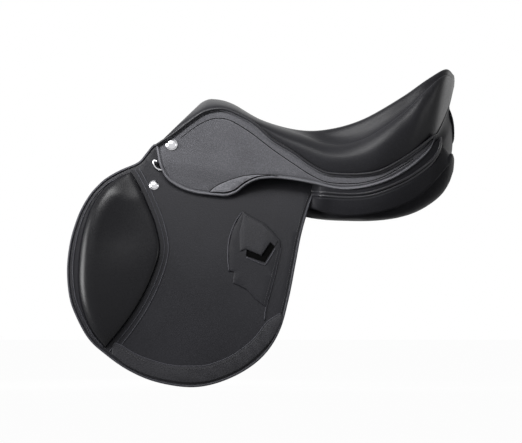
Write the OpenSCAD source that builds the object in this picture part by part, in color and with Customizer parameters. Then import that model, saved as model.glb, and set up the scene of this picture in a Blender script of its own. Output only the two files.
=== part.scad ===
// Jumping saddle with lifting flaps and skirts, stirrup bars, girth straps and dees.
// Millimetres. -X is forward, +X is to the rear, -Y is the left side, +Z is up.
// The origin is on the middle plane, level with the underside of the rear panels.

/* [Seat] */
// Seat length in the side view, from a nailhead to the top of the cantle
seat_l = 428; // [400:1:450]
// Depth of the dish in the rear of the seat
seat_dish = 42; // [25:1:48]
// Thickness of the seat leather
cover_t = 2.5; // [1.5:0.1:4]
// Diameter of the piping along the seat seam
welt_d = 4; // [3:0.1:5]

/* [Flaps and skirts] */
// Half width of the saddle at the middle of the fold where the flaps lift
fold_y = 114; // [106:1:122]
// How far the foot of a flap stands out past its fold
flap_spread = 80; // [60:1:95]
// Drop of a flap below its fold
flap_drop = 331; // [300:1:360]
// Length of a flap from its front edge to its rear corner
flap_l = 376; // [350:1:395]
// Thickness of the flap leather
flap_t = 3.5; // [2.5:0.1:4.5]
// Thickness of the skirt leather
skirt_t = 3.5; // [2.5:0.1:4.5]
// Thickness of the sweat flap leather
sweat_t = 3; // [2:0.1:4]
// Crown of a knee pad on the outside of a flap
knee_pad_h = 13; // [8:0.5:18]
// Thickness of the keeper leather and of the wear band
overlay_t = 2; // [1.2:0.1:3]

/* [Stirrup bars] */
// Diameter of a stirrup bar
bar_d = 8; // [6:0.1:9]
// Length of a stirrup bar
bar_l = 62; // [52:1:70]
// Length of the safety catch at the open end
catch_l = 20; // [16:0.5:24]
// Diameter of the pin that carries the catch
catch_pin_d = 3; // [2:0.1:3.4]
// Running clearance of the catch on its pin
pin_clearance = 0.05; // [0.02:0.01:0.1]

/* [Girth straps] */
// Width of a girth strap
strap_w = 26; // [22:0.5:28]
// Thickness of a girth strap
strap_t = 4; // [3:0.1:5]
// Length of a girth strap below its web
strap_l = 215; // [180:1:230]
// Diameter of the punched holes
strap_hole_d = 5.5; // [4:0.1:6.5]
// Distance between neighbouring holes
strap_pitch = 25; // [20:0.5:27]
// Number of holes in a strap
strap_holes = 6; // [4:1:7]

/* [Fittings] */
// Diameter of a nailhead
nailhead_d = 16; // [13:0.5:17]
// Diameter of a flap stud
stud_d = 14; // [10:0.5:16]
// Outer width of a front dee
dee_w = 26; // [22:0.5:30]
// Diameter of the wire of a dee
dee_wire_d = 3.2; // [2.6:0.1:3.4]
// Thickness of the head plate
plate_t = 4; // [3:0.1:5]

/* [Panels] */
// Clear width of the gullet between the panels
gullet_w = 64; // [56:1:74]
// Scale of the panel cushions across their thickness
panel_fill = 1; // [0.85:0.01:1.05]

/* [Hidden] */

// Smoothness of round pieces
$fn = 48;
// One overrun for every cut
overrun = 1;
// Gap between leather layers that lie on each other
lay_gap = 0.4;

// The side view: places are read in photograph pixels and become millimetres through the seat length
seat_l_px = 285.4;
origin_px = [262, 222];
px = seat_l / seat_l_px;
function view(p) = [(p[0] - origin_px[0]) * px, (origin_px[1] - p[1]) * px];

// The straight fold where flap and skirt lift, front end and rear end
fold_front_px = [137, 153];
fold_rear_px = [318, 186];
fold_mid_px = (fold_front_px + fold_rear_px) / 2;
fold_run_px = fold_rear_px - fold_front_px;
fold_mid = view(fold_mid_px);
fold_tilt = atan2(fold_run_px[1], fold_run_px[0]);
// The fold stands wider at the rear than at the front by this angle in plan
fold_plan = 5;
// Inward lean of the skirts above the fold, and the arc over which a flap curves to its foot
skirt_lean_share = 0.25;
flap_arc = 75;

// Layers outward from the fold axis: the stirrup bar lies on the axis, flap and skirt pass round it
bar_r = bar_d / 2;
skirt_room = 3.5;
flap_room = 6;
skirt_in = bar_r + skirt_room;
skirt_out = skirt_in + skirt_t;
flap_out = -bar_r - flap_room;
flap_in = flap_out - flap_t;
strap_room = 14;
sweat_out = flap_in - strap_room;
sweat_in = sweat_out - sweat_t;
board_t = 7.5;
board_out = sweat_in - lay_gap;
board_in = board_out - board_t;
strap_side_gap = 3;
strap_in = sweat_out + strap_side_gap;
strap_out = strap_in + strap_t;
// Longest reach of a side layer from the middle plane and along the fold
side_reach = 2 * (fold_y + flap_spread);
level_count = 20;
// Half the slit between a fixed top and the piece that folds below it
fold_slit = 0.3;
flap_top_h = 14;

function mix(a, b, t) = a * (1 - t) + b * t;
function clamp01(t) = min(max(t, 0), 1);

// Smooth curve through hand-set points, open or closed
function blend4(a, b, c, d, k) =
    (2 * b + (c - a) * k + (2 * a - 5 * b + 4 * c - d) * k * k + (3 * b - a - 3 * c + d) * k * k * k) / 2;
function open_at(p, t) =
    let (n = len(p) - 1, f = clamp01(t) * n, i = min(floor(f), n - 1))
    blend4(p[max(i - 1, 0)], p[i], p[i + 1], p[min(i + 2, n)], f - i);
function open_curve(p, n) = [for (i = [0:n]) open_at(p, i / n)];
function closed_at(p, t) =
    let (n = len(p), f = t * n, i = floor(f))
    blend4(p[(i + n - 1) % n], p[i % n], p[(i + 1) % n], p[(i + 2) % n], f - i);
function closed_curve(p, n) = [for (i = [0:n - 1]) closed_at(p, i / n)];
function views(p) = [for (q = p) view(q)];

// Flap places follow the flap's own length and drop
flap_l_px = 251;
flap_drop_px = 221;
function flap_view(p) =
    let (
        d = [p[0] - fold_mid_px[0], fold_mid_px[1] - p[1]],
        u = (d[0] * cos(fold_tilt) - d[1] * sin(fold_tilt)) * flap_l / flap_l_px,
        w = (d[0] * sin(fold_tilt) + d[1] * cos(fold_tilt)) * flap_drop / flap_drop_px)
    fold_mid + [u * cos(fold_tilt) + w * sin(fold_tilt), w * cos(fold_tilt) - u * sin(fold_tilt)];
function flap_views(p) = [for (q = p) flap_view(q)];

// Outward offset of the side surface at a height above or below the fold
function hang(w) =
    w > 0 ? -skirt_lean_share * w
          : flap_spread * sin(flap_arc * min(-w / flap_drop, 1)) / sin(flap_arc);
// Place along and across the fold of a side-view point that stands o outward
function side_uw(x, z, o) =
    let (dx = (x - fold_mid[0] + o * sin(fold_plan)) / cos(fold_plan), dz = z - fold_mid[1])
    [dx * cos(fold_tilt) - dz * sin(fold_tilt), dx * sin(fold_tilt) + dz * cos(fold_tilt)];
// Distance from the middle plane of the side surface, raised by e
function skin(x, z, e = 0) =
    let (
        a = hang(side_uw(x, z, 0)[1]) + e,
        b = hang(side_uw(x, z, a)[1]) + e,
        q = side_uw(x, z, b),
        o = hang(q[1]) + e)
    fold_y + (q[0] * cos(fold_tilt) + q[1] * sin(fold_tilt)) * sin(fold_plan) + o * cos(fold_plan);
// The skirts and the seat draw in round the cantle
tuck_start_px = 370;
tuck_run_px = 75;
rear_tuck = 38;
function tuck(x) =
    rear_tuck * pow(max(0, (x / px + origin_px[0] - tuck_start_px) / tuck_run_px), 2);
function skirt_y(x, z, e = 0) = skin(x, z, e) - tuck(x);
function on_side(p, e = 0) = [p[0], -skin(p[0], p[1], e), p[1]];
function on_skirt(p, e = 0) = [p[0], -skirt_y(p[0], p[1], e), p[1]];

module side_frame()
    translate([fold_mid[0], -fold_y, fold_mid[1]]) rotate([0, fold_tilt, -fold_plan]) children();
module right() mirror([0, 1, 0]) children();
// A leather layer of the side, between two offsets and two heights from the fold
module slab(inner, outer, top, foot) {
    ws = [for (i = [0:level_count]) mix(top, foot, i / level_count)];
    side_frame() rotate([90, 0, 90]) translate([0, 0, -side_reach]) linear_extrude(2 * side_reach)
        polygon(concat(
            [for (w = ws) [-(hang(w) + outer), w]],
            [for (i = [level_count:-1:0]) [-(hang(ws[i]) + inner), ws[i]]]));
}
module prism(outline) rotate([90, 0, 0]) linear_extrude(side_reach) polygon(outline);
module layer(outline, inner, outer, top, foot) intersection() {
    slab(inner, outer, top, foot);
    prism(outline);
}

// Closed solids from point grids
function flat(a) = [for (b = a) for (c = b) c];
function centre(a) = [for (k = [0:2]) [for (p = a) p[k]] * [for (p = a) 1] / len(a)];
function wound(a) = [for (i = [len(a) - 1:-1:0]) a[i]];
function turn_area(o) =
    [for (i = [0:len(o) - 1]) let (a = o[i], b = o[(i + 1) % len(o)]) a[0] * b[1] - a[1] * b[0]]
    * [for (p = o) 1];
function facing_out(o) = turn_area(o) > 0 ? o : wound(o);
// Skin over a row of closed rings, with both ends closed on their middles
module loft(rings) {
    n = len(rings[0]);
    m = len(rings);
    polyhedron(
        points = concat(flat(rings), [centre(rings[0]), centre(rings[m - 1])]),
        faces = concat(
            [for (j = [0:m - 2]) for (i = [0:n - 1]) [j * n + i, j * n + (i + 1) % n, (j + 1) * n + i]],
            [for (j = [0:m - 2]) for (i = [0:n - 1])
                [j * n + (i + 1) % n, (j + 1) * n + (i + 1) % n, (j + 1) * n + i]],
            [for (i = [0:n - 1]) [(i + 1) % n, i, m * n]],
            [for (i = [0:n - 1]) [(m - 1) * n + i, (m - 1) * n + (i + 1) % n, m * n + 1]]));
}
// A strip of leather: each row of four corners is swept to the next
module strip(outer, inner) loft([for (i = [0:len(outer) - 1]) concat(outer[i], wound(inner[i]))]);
// Round piping along a path
function unit(v) = v / norm(v);
module piping(path, d, sides = 8) {
    n = len(path);
    loft([for (i = [0:n - 1])
        let (
            t = unit(path[min(i + 1, n - 1)] - path[max(i - 1, 0)]),
            a = unit(cross(t, [0, 1, 0])),
            b = cross(t, a))
        [for (k = [0:sides - 1]) path[i] + d / 2 * (a * cos(-360 * k / sides) + b * sin(-360 * k / sides))]]);
}
// A crowned pad on the side surface, seated on the layer whose outer face is at seat_o
pad_ring_shares = [1, 0.95, 0.84, 0.66, 0.4];
pad_sink = 3;
module pad(outline, middle, seat_o, rim, crown) {
    o = facing_out(outline);
    n = len(o);
    k = len(pad_ring_shares);
    tops = [for (s = pad_ring_shares) [for (p = o)
        on_side(middle + (p - middle) * s, seat_o + rim + crown * sqrt(1 - s * s))]];
    difference() {
        polyhedron(
            points = concat(flat(tops), [on_side(middle, seat_o + rim + crown)],
                [for (p = o) on_side(p, seat_o - pad_sink)], [on_side(middle, seat_o - pad_sink)]),
            faces = concat(
                [for (j = [0:k - 2]) for (i = [0:n - 1])
                    [j * n + i, (j + 1) * n + i, j * n + (i + 1) % n]],
                [for (j = [0:k - 2]) for (i = [0:n - 1])
                    [j * n + (i + 1) % n, (j + 1) * n + i, (j + 1) * n + (i + 1) % n]],
                [for (i = [0:n - 1]) [(k - 1) * n + i, k * n, (k - 1) * n + (i + 1) % n]],
                [for (i = [0:n - 1]) [i, (i + 1) % n, k * n + 1 + i]],
                [for (i = [0:n - 1]) [(i + 1) % n, k * n + 1 + (i + 1) % n, k * n + 1 + i]],
                [for (i = [0:n - 1]) [k * n + 1 + i, k * n + 1 + (i + 1) % n, k * n + 1 + n]]));
        slab(seat_o - fold_y, seat_o + lay_gap, fold_y, -flap_drop - fold_y);
    }
}

// The seat: matching rows of points along the seam and along the top line, front to rear
seam_px = [[156, 146], [174, 134], [202, 113.5], [225, 110], [254, 124], [293, 153], [325, 173],
    [360, 175], [399, 162], [419, 149], [436, 135], [448, 110], [455, 86]];
top_px = [[197, 106], [203, 101], [213, 98.5], [232, 103], [262, 119], [298, 128.5], [330, 128],
    [364, 118], [402, 96], [428, 77.5], [446, 67.5], [454, 74], [455.5, 80]];
seat_dish_shares = [0, 0, 0, 0, 0.03, 0.1, 0.25, 0.5, 0.8, 0.85, 0.3, 0, 0];
// How flat the seat stays across before it falls to the seam: 1 is round, 4 is flat out to the rim
seat_flat_shares = [1, 1, 1, 1, 1.3, 1.9, 2.6, 3.2, 3.8, 4, 4, 3, 2];
crown_power = 0.75;
seat_close_shares = [1, 1, 1, 1, 1, 1, 1, 1, 1, 0.99, 0.9, 0.6, 0.06];
// Rise of the underside at the middle over the seam, as shares of the seat length
seat_arch_shares = [0.1, 0.075, 0.005, -0.025, -0.03, 0.02, 0.05, 0.065, 0.065, 0.06, 0.01, 0, 0];
// Rows and columns that all pieces of the seat share
row_share = 0.04;
col_share = 0.1175;
seat_cols = 7;
edge_share = 0.93;
function rows(ends) = concat([ends[0]],
    [for (k = [floor(ends[0] / row_share) + 1:ceil(ends[1] / row_share) - 1]) k * row_share], [ends[1]]);
rim_share = 0.62;
function seam_at(s) = view(open_at(seam_px, s));
function top_at(s) = view(open_at(top_px, s));
function seat_half(s) =
    let (p = seam_at(s)) (skirt_y(p[0], p[1], skirt_out)) * open_at(seat_close_shares, s);
function seat_x(s, t) = mix(top_at(s)[0], seam_at(s)[0], pow(sin(90 * abs(t)), 2));
function seat_top(s, t, inset = 0) =
    let (
        a = abs(t),
        dip = a < rim_share ? pow(1 - pow(a / rim_share, 2), 2) : 0,
        rise = top_at(s)[1] - seam_at(s)[1],
        crown = pow(cos(90 * pow(a, open_at(seat_flat_shares, s))), crown_power))
    [seat_x(s, t), (seat_half(s) - inset) * sin(90 * t),
     seam_at(s)[1] + rise * crown - seat_dish * open_at(seat_dish_shares, s) * dip - inset];
// Towards the cantle the underside follows the seam, so that the back leans in below the rim
back_start_share = 0.66;
back_run_share = 0.16;
function seat_under(s, t, drop = 0, inset = 0) =
    [mix(seat_x(s, t), seam_at(s)[0], clamp01((s - back_start_share) / back_run_share)),
     sign(t) * min(seat_half(s) * sin(90 * abs(t)), seat_half(s) - inset),
     seam_at(s)[1] + seat_l * open_at(seat_arch_shares, s) * cos(90 * t) - drop];
// Layers under the seat: foam rests on webbing, webbing on the deck of the tree
web_t = 2;
deck_t = 10;
edge_h = 3;
deck_drop = web_t + 3 * lay_gap;
deck_cols = 4;
// Where the hollow of the cover and the foam in it begin and end along the seat
hollow_shares = [0.04, 0.92];
foam_shares = [0.08, 0.88];
function columns(from, to) = [for (k = [from:to]) k * col_share];
inner_columns = columns(-seat_cols, seat_cols);
all_columns = concat([-1, -edge_share], inner_columns, [edge_share, 1]);
module seat_body(drop, inset, ends, ts) loft([for (s = rows(ends))
    concat([for (t = ts) seat_top(s, t, inset)], [for (t = wound(ts)) seat_under(s, t, drop, inset)])]);
// A sheet under the seat, between two depths below its underside
module under_sheet(top, thick, ends, ts) loft([for (s = rows(ends))
    concat([for (t = ts) seat_under(s, t, top)], [for (t = wound(ts)) seat_under(s, t, top + thick)])]);

module seat_cover() color([0.08, 0.08, 0.09]) difference() {
    seat_body(0, 0, [0, 1], all_columns);
    seat_body(cover_t + edge_h, cover_t, hollow_shares, all_columns);
}
module seat_foam() color([0.75, 0.72, 0.6]) seat_body(0, cover_t + lay_gap, foam_shares, inner_columns);

// Piping along the seam between seat and skirt, both sides
seam_end_share = 0.82;
welt_steps = 40;
function welt_path() = [for (i = [0:welt_steps])
    let (p = seam_at(seam_end_share * i / welt_steps) + [0, welt_d / 4])
    on_skirt(p, skirt_out + lay_gap + welt_d / 2)];
module left_welt() piping(welt_path(), welt_d);
module seat_welt() color([0.05, 0.05, 0.05]) {
    left_welt();
    right() left_welt();
}

// Tree: a deck under the seat with an open middle, and a board with a point down each side
board_px = [[172, 143], [186, 129], [202, 121], [225, 121], [254, 136], [285, 152], [298, 172], [290, 184],
    [262, 184], [235, 183], [207, 185], [188, 200], [170, 224], [154, 224], [151, 207], [160, 182]];
board_top = 90;
board_foot = -130;
tree_ends_shares = [0.08, 0.76];
hole_px = [285, 385];
hole_w_share = 0.6;
module left_board() layer(closed_curve(views(board_px), 48), board_in, board_out, board_top, board_foot);
module tree() color([0.72, 0.55, 0.35]) {
    difference() {
        under_sheet(deck_drop, deck_t, tree_ends_shares, columns(-deck_cols, deck_cols));
        hull() for (x = hole_px)
            translate([view([x, 0])[0], 0, 0]) cylinder(d = gullet_w * hole_w_share, h = seat_l);
    }
    left_board();
    right() left_board();
}
// Steel arch under the head of the tree
plate_w = 24;
plate_x_px = 196;
plate_top_px = 123;
plate_end_px = 135.1;
plate_steps = 10;
module head_plate() color([0.55, 0.56, 0.58]) {
    c = view([plate_x_px, plate_top_px]);
    end = view([plate_x_px, plate_end_px]);
    half = skin(end[0], end[1], board_in) - lay_gap;
    arch = [for (i = [-plate_steps:plate_steps])
        [half * i / plate_steps, (end[1] - c[1]) * pow(i / plate_steps, 2)]];
    translate([c[0], 0, c[1]]) rotate([90, 0, 90]) linear_extrude(plate_w)
        polygon(concat(arch, [for (p = wound(arch)) p - [0, plate_t]]));
}
// Two flat springs along the underside of the deck
spring_t = 1.6;
spring_ends_shares = [0.28, 0.72];
module left_spring() under_sheet(deck_drop + deck_t + lay_gap, spring_t, spring_ends_shares, columns(2, 3));
module tree_springs() color([0.5, 0.52, 0.55]) {
    left_spring();
    right() left_spring();
}
// Webbing over the open middle of the deck
web_run_shares = [0.28, 0.72];
module seat_webbing() color([0.8, 0.76, 0.62]) under_sheet(lay_gap, web_t, web_run_shares, columns(-2, 2));
lining_ends_shares = [0.28, 0.72];
lining_t = 2;
module gullet_lining() color([0.12, 0.12, 0.12])
    under_sheet(deck_drop + deck_t + lay_gap, lining_t, lining_ends_shares, columns(-1, 1));

// Places along the fold
function fold_u(p) = side_uw(view(p)[0], view(p)[1], 0)[0];
module slab_piece(inner, outer, top, foot, from, to) intersection() {
    slab(inner, outer, top, foot);
    side_frame() translate([from, -side_reach, foot - overrun])
        cube([to - from, 2 * side_reach, top - foot + 2 * overrun]);
}
// Girth webs: hung on the boards, each carries the top of a girth strap
strap_front_u = -30;
strap_rear_u = 8;
web_foot = -28;
web_top = 22;
web_hold_h = 8;
web_skin = 1;
module left_webs() for (u = [strap_front_u, strap_rear_u]) {
    slab_piece(strap_in + web_skin, strap_out - web_skin, web_top, web_foot,
        u - strap_w / 2, u + strap_w / 2);
    slab_piece(board_out + lay_gap, strap_out - web_skin, web_top, web_top - web_hold_h,
        u - strap_w / 2, u + strap_w / 2);
}
module girth_webs() color([0.82, 0.79, 0.68]) {
    left_webs();
    right() left_webs();
}
// Girth strap: round top at its pivot, hanging plumb, with punched holes and a pointed end
strap_pivot_w = web_foot - lay_gap - strap_w / 2;
strap_point_share = 0.6;
strap_hole_start_share = 0.3;
strap_arc_steps = 16;
module strap_frame(u) side_frame() translate([u, 0, strap_pivot_w]) rotate([0, -fold_tilt, 0]) children();
module left_strap(u) difference() {
    intersection() {
        slab(strap_in, strap_out, web_foot, strap_pivot_w - strap_l - overrun);
        strap_frame(u) rotate([90, 0, 0]) linear_extrude(2 * side_reach, center = true) polygon(concat(
            [for (i = [0:strap_arc_steps])
                strap_w / 2 * [cos(180 * i / strap_arc_steps), sin(180 * i / strap_arc_steps)]],
            [[-strap_w / 2, strap_w * strap_point_share - strap_l], [0, -strap_l],
             [strap_w / 2, strap_w * strap_point_share - strap_l]]));
    }
    strap_frame(u) for (i = [0:strap_holes - 1])
        translate([0, 0, -strap_l * strap_hole_start_share - strap_pitch * i])
            rotate([90, 0, 0]) cylinder(d = strap_hole_d, h = 2 * side_reach, center = true);
}
module strap_colour() color([0.1, 0.1, 0.1]) children();
module left_front_strap() strap_colour() left_strap(strap_front_u);
module left_rear_strap() strap_colour() left_strap(strap_rear_u);
module right_front_strap() right() left_front_strap();
module right_rear_strap() right() left_rear_strap();

// Stirrup bar: a rod on the fold axis, a bracket to its plate on the board, an open rear end
// The catch ends where the skirt lobe is deep, and the bar runs forward from there
catch_end_px = 243.4;
bracket_w = 14;
bar_plate_t = 3;
bar_plate_h = 11;
bar_plate_l = 50;
bar_plate_lift = 0.5;
tab_l = 9;
catch_t = 2.4;
catch_h = 6;
catch_gap = 0.2;
rivet_d = 5;
rivet_gap = 0.1;
rivet_shares = [0.4, 0.85];
catch_u = fold_u([catch_end_px, fold_mid_px[1]]) - catch_l + catch_h / 2;
bar_u1 = catch_u - tab_l / 2;
bar_u0 = bar_u1 - bar_l;
rivet_w = bar_plate_lift + bar_plate_h / 2;
skirt_lean = atan(skirt_lean_share);
module at_rivets() for (s = rivet_shares)
    side_frame() translate([bar_u0 + bar_plate_l * s, -hang(rivet_w) - board_out - bar_plate_t, rivet_w])
        rotate([90 - skirt_lean, 0, 0]) children();
module left_bar_body() color([0.75, 0.76, 0.78]) difference() {
    union() {
        side_frame() {
            translate([bar_u0, 0, 0]) rotate([0, 90, 0]) cylinder(d = bar_d, h = bar_l);
            translate([bar_u0, 0, -bar_r]) cube([bracket_w, -board_out - bar_plate_t / 2, bar_d]);
            translate([bar_u1 - overrun, catch_gap / 2, -catch_h / 2])
                cube([tab_l + overrun, catch_t, catch_h]);
        }
        slab_piece(board_out + lay_gap / 4, board_out + bar_plate_t, bar_plate_lift + bar_plate_h,
            bar_plate_lift, bar_u0, bar_u0 + bar_plate_l);
    }
    at_rivets() cylinder(d = rivet_d + 2 * rivet_gap, h = 4 * bar_plate_t, center = true);
    side_frame() translate([catch_u, 0, 0]) rotate([90, 0, 0])
        cylinder(d = catch_pin_d + 2 * pin_clearance, h = 4 * catch_t, center = true);
}
module left_stirrup_bar() left_bar_body();
module right_stirrup_bar() right() left_bar_body();
// Rivets through each plate, headed on the outside
rivet_head_d = 8;
rivet_head_h = 1.6;
module left_rivets() at_rivets() {
    translate([0, 0, lay_gap / 2 - bar_plate_t]) cylinder(d = rivet_d, h = bar_plate_t);
    translate([0, 0, lay_gap / 4]) cylinder(d = rivet_head_d, h = rivet_head_h);
}
module stirrup_bar_rivets() color([0.6, 0.6, 0.62]) {
    left_rivets();
    right() left_rivets();
}
module left_pin() side_frame() translate([catch_u, catch_gap / 2 + catch_t, 0]) rotate([90, 0, 0])
    cylinder(d = catch_pin_d, h = 2 * catch_t + catch_gap);
module catch_pins() color([0.6, 0.6, 0.62]) {
    left_pin();
    right() left_pin();
}
// Safety catch: a flat lever that swings up behind the open end
module left_catch_body() color([0.78, 0.79, 0.8]) side_frame() difference() {
    translate([catch_u, -catch_gap / 2, 0]) rotate([90, 0, 0]) linear_extrude(catch_t) {
        circle(d = catch_h);
        translate([0, -catch_h / 2]) square([catch_l - catch_h, catch_h]);
        translate([catch_l - catch_h, 0]) circle(d = catch_h);
    }
    translate([catch_u, 0, 0]) rotate([90, 0, 0])
        cylinder(d = catch_pin_d + 2 * pin_clearance, h = 4 * catch_t, center = true);
}
module left_bar_catch() left_catch_body();
module right_bar_catch() right() left_catch_body();

// Flap: one sheet that lifts at the fold, notched at the bracket of the stirrup bar
flap_px = [[149, 148], [138, 162], [120, 170], [106, 178], [97, 186], [90, 194], [82, 207], [76, 221],
    [70, 242], [67, 268], [69, 295], [75, 314], [88, 338], [105, 354], [128, 370], [155, 381.5],
    [188, 387], [215, 383.5], [243, 371.5], [265, 354], [280, 330], [289, 298], [296, 262],
    [301, 236], [307, 214], [313, 197], [318, 188], [319, 182]];
notch_gap = 2;
flap_edge = open_curve(flap_views(flap_px), 84);
flap_black = [0.16, 0.16, 0.17];
module bar_notch() side_frame()
    translate([bar_u0 - notch_gap, -side_reach, -bar_r - notch_gap])
        cube([bracket_w + 2 * notch_gap, 2 * side_reach, bar_d + 2 * notch_gap]);
module left_flap_body() color(flap_black) difference() {
    layer(flap_edge, flap_in, flap_out, -fold_slit, -flap_drop - fold_y);
    bar_notch();
}
module left_flap() left_flap_body();
module right_flap() right() left_flap_body();
// The fixed top of the flap, under the skirt, on packing that carries it off the board
flap_top_px = [[162, 120], [162, 200], [312, 200], [312, 120]];
packing_front_u = -80;
packing_rear_u = 30;
packing_l = 16;
packing_h = 6;
module left_flap_top_body() color(flap_black) {
    difference() {
        layer(views(flap_top_px), flap_in, flap_out, flap_top_h, fold_slit);
        bar_notch();
    }
    for (u = [packing_front_u, packing_rear_u])
        slab_piece(board_out + lay_gap, flap_in + flap_t / 2, flap_top_h, flap_top_h - packing_h,
            u, u + packing_l);
}
module left_flap_top() left_flap_top_body();
module right_flap_top() right() left_flap_top_body();

// Knee pad, wear band, keeper and stud on the outside of the flap
knee_pad_px = [[131, 172], [140, 187], [148, 204.5], [156, 225], [160, 250], [152.5, 276], [140, 302],
    [124, 326], [106, 348], [92, 331], [82, 308], [78, 283], [79, 255], [83, 230], [91, 207], [103, 189],
    [117, 178]];
knee_mid_px = [117, 262];
pad_rim = 2;
module left_knee_pad_body() color([0.06, 0.06, 0.07])
    pad(closed_curve(flap_views(knee_pad_px), 44), flap_view(knee_mid_px), flap_out, pad_rim,
        knee_pad_h - pad_rim);
module left_knee_pad() left_knee_pad_body();
module right_knee_pad() right() left_knee_pad_body();

wear_top_px = [[113, 343], [121, 347], [136, 355], [156, 362], [175, 366], [191, 366.5], [207, 365],
    [227, 358], [243, 348], [256, 336], [267, 323], [281, 313]];
wear_foot_px = [[283, 318], [275, 335], [261, 352], [241, 368], [214, 379.5], [188, 382.5], [156, 377.5],
    [130, 367], [112, 354]];
module left_wear_band_body() color([0.25, 0.25, 0.26])
    layer(concat(open_curve(flap_views(wear_top_px), 24), open_curve(flap_views(wear_foot_px), 24)),
        flap_out + lay_gap, flap_out + lay_gap + overlay_t / 2, 0, -flap_drop - fold_y);
module left_wear_band() left_wear_band_body();
module right_wear_band() right() left_wear_band_body();

keeper_px = [[243, 211], [251, 216.5], [264, 223], [273, 231.5], [280, 240], [281, 248], [276, 270],
    [271, 289.5], [266, 307], [256, 299.5], [246, 289], [233, 283], [234, 272], [229, 271], [228, 250],
    [232, 230], [241, 214]];
slot_px = [[245.5, 250], [263, 258], [271.5, 243], [275.5, 246], [265.5, 264.5], [243.5, 254.5]];
module left_keeper_body() color([0.27, 0.27, 0.28]) difference() {
    layer(flap_views(keeper_px), flap_out + lay_gap, flap_out + lay_gap + overlay_t, 0, -flap_drop);
    prism(flap_views(slot_px));
}
module left_keeper() left_keeper_body();
module right_keeper() right() left_keeper_body();

// A domed metal head, standing on the leather whose outer face is at seat_o
dome_share = 0.28;
module dome_head(p, seat_o, d) {
    q = side_uw(p[0], p[1], hang(side_uw(p[0], p[1], 0)[1]));
    slope = atan2(hang(q[1] - overrun) - hang(q[1] + overrun), 2 * overrun);
    side_frame() translate([q[0], -hang(q[1]) - seat_o - lay_gap, q[1]]) rotate([90 - slope, 0, 0])
        rotate_extrude() polygon(concat([[0, 0], [d / 2, 0]],
            [for (a = [15:15:75]) [d / 2 * cos(a), d * dome_share * sin(a)]], [[0, d * dome_share]]));
}
// A stud sits midway between the edge of the skirt and the seam of the knee pad
stud_skirt_px = [168, 181];
stud_pad_px = [140, 189];
stud_place = (view(stud_skirt_px) + flap_view(stud_pad_px)) / 2;
nailhead_px = [171.8, 145];
metal = [0.8, 0.8, 0.82];
module left_flap_stud() color(metal) dome_head(stud_place, flap_out, stud_d);
module right_flap_stud() right() left_flap_stud();
module left_nailhead() dome_head(view(nailhead_px), skirt_out, nailhead_d);
module nailheads() color(metal) {
    left_nailhead();
    right() left_nailhead();
}

// Front dee: a wire ring whose straight side turns in a leather chape on the flap
dee_px = [161, 162];
dee_wire_r = dee_wire_d / 2;
chape_t = 2;
chape_l = 13;
dee_gap = 0.08;
dee_uw = side_uw(flap_view(dee_px)[0], flap_view(dee_px)[1], 0);
chape_r = dee_wire_r + dee_gap + chape_t;
dee_o = hang(dee_uw[1] - chape_r) + flap_out + lay_gap + chape_r;
// The dee hangs from its chape until its foot lies on the flap
dee_foot_o = hang(dee_uw[1] - dee_w / 2) + flap_out + lay_gap + dee_wire_r;
dee_lean = atan2(dee_foot_o - dee_o, dee_w / 2);
dee_run = dee_w - dee_wire_d;
module at_dee() side_frame() translate([dee_uw[0], -dee_o, dee_uw[1]]) rotate([-dee_lean, 0, 0]) children();
module left_dee_body() color(metal) at_dee() {
    rotate([0, 90, 0]) cylinder(d = dee_wire_d, h = dee_run, center = true);
    rotate([-90, 0, 0]) rotate_extrude(angle = 180) translate([dee_run / 2, 0]) circle(d = dee_wire_d);
    for (s = [-1, 1]) translate([s * dee_run / 2, 0, 0]) sphere(d = dee_wire_d);
}
module left_dee() left_dee_body();
module right_dee() right() left_dee_body();
module left_chape_body() color([0.1, 0.1, 0.1]) difference() {
    at_dee() rotate([0, 90, 0]) cylinder(r = chape_r, h = chape_l, center = true);
    at_dee() rotate([0, 90, 0]) cylinder(r = dee_wire_r + dee_gap, h = 2 * chape_l, center = true);
}
module left_dee_chape() left_chape_body();
module right_dee_chape() right() left_chape_body();

// Skirt: the lobe that lifts to show the stirrup bar, hanging clear of the bar and then on the flap
skirt_px = [[157, 154], [160, 166], [167, 179], [180, 188], [194, 193], [207, 195.5], [225, 197],
    [233, 195], [240, 190.5], [247, 185], [258, 180.5], [270, 179], [280, 178]];
skirt_black = [0.24, 0.24, 0.25];
skirt_top_w = -2;
skirt_foot_w = -60;
catch_notch_h = 8;
catch_notch_gap = 6;
skirt_fall_w = -9;
skirt_rest_w = -36;
function ease(t) = t * t * (3 - 2 * t);
function skirt_off(w) =
    mix(skirt_in, hang(w) + flap_out + lay_gap,
        ease(clamp01((w - skirt_fall_w) / (skirt_rest_w - skirt_fall_w))));
module skirt_layer(outline, lift, t) intersection() {
    ws = [for (i = [0:level_count]) mix(skirt_top_w, skirt_foot_w, i / level_count)];
    side_frame() rotate([90, 0, 90]) translate([0, 0, -side_reach]) linear_extrude(2 * side_reach)
        polygon(concat([for (w = ws) [-(skirt_off(w) + lift + t), w]],
            [for (w = wound(ws)) [-(skirt_off(w) + lift), w]]));
    prism(outline);
}
module left_skirt_body() color(skirt_black) difference() {
    skirt_layer(open_curve(views(skirt_px), 48), 0, skirt_t);
    side_frame() translate([catch_u - catch_notch_gap, -side_reach, skirt_top_w - catch_notch_h])
        cube([catch_l + 2 * catch_notch_gap, 2 * side_reach, 2 * catch_notch_h]);
}
module left_skirt() left_skirt_body();
module right_skirt() right() left_skirt_body();
patch_px = [[209, 192], [214, 187.5], [222, 183.5], [232, 181], [243, 181.5], [240, 187], [233, 191.5],
    [225, 193.5]];
module left_skirt_patch_body() color([0.32, 0.32, 0.33])
    skirt_layer(closed_curve(views(patch_px), 28), skirt_t + lay_gap / 2, overlay_t / 2);
module left_skirt_patch() left_skirt_patch_body();
module right_skirt_patch() right() left_skirt_patch_body();

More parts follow.
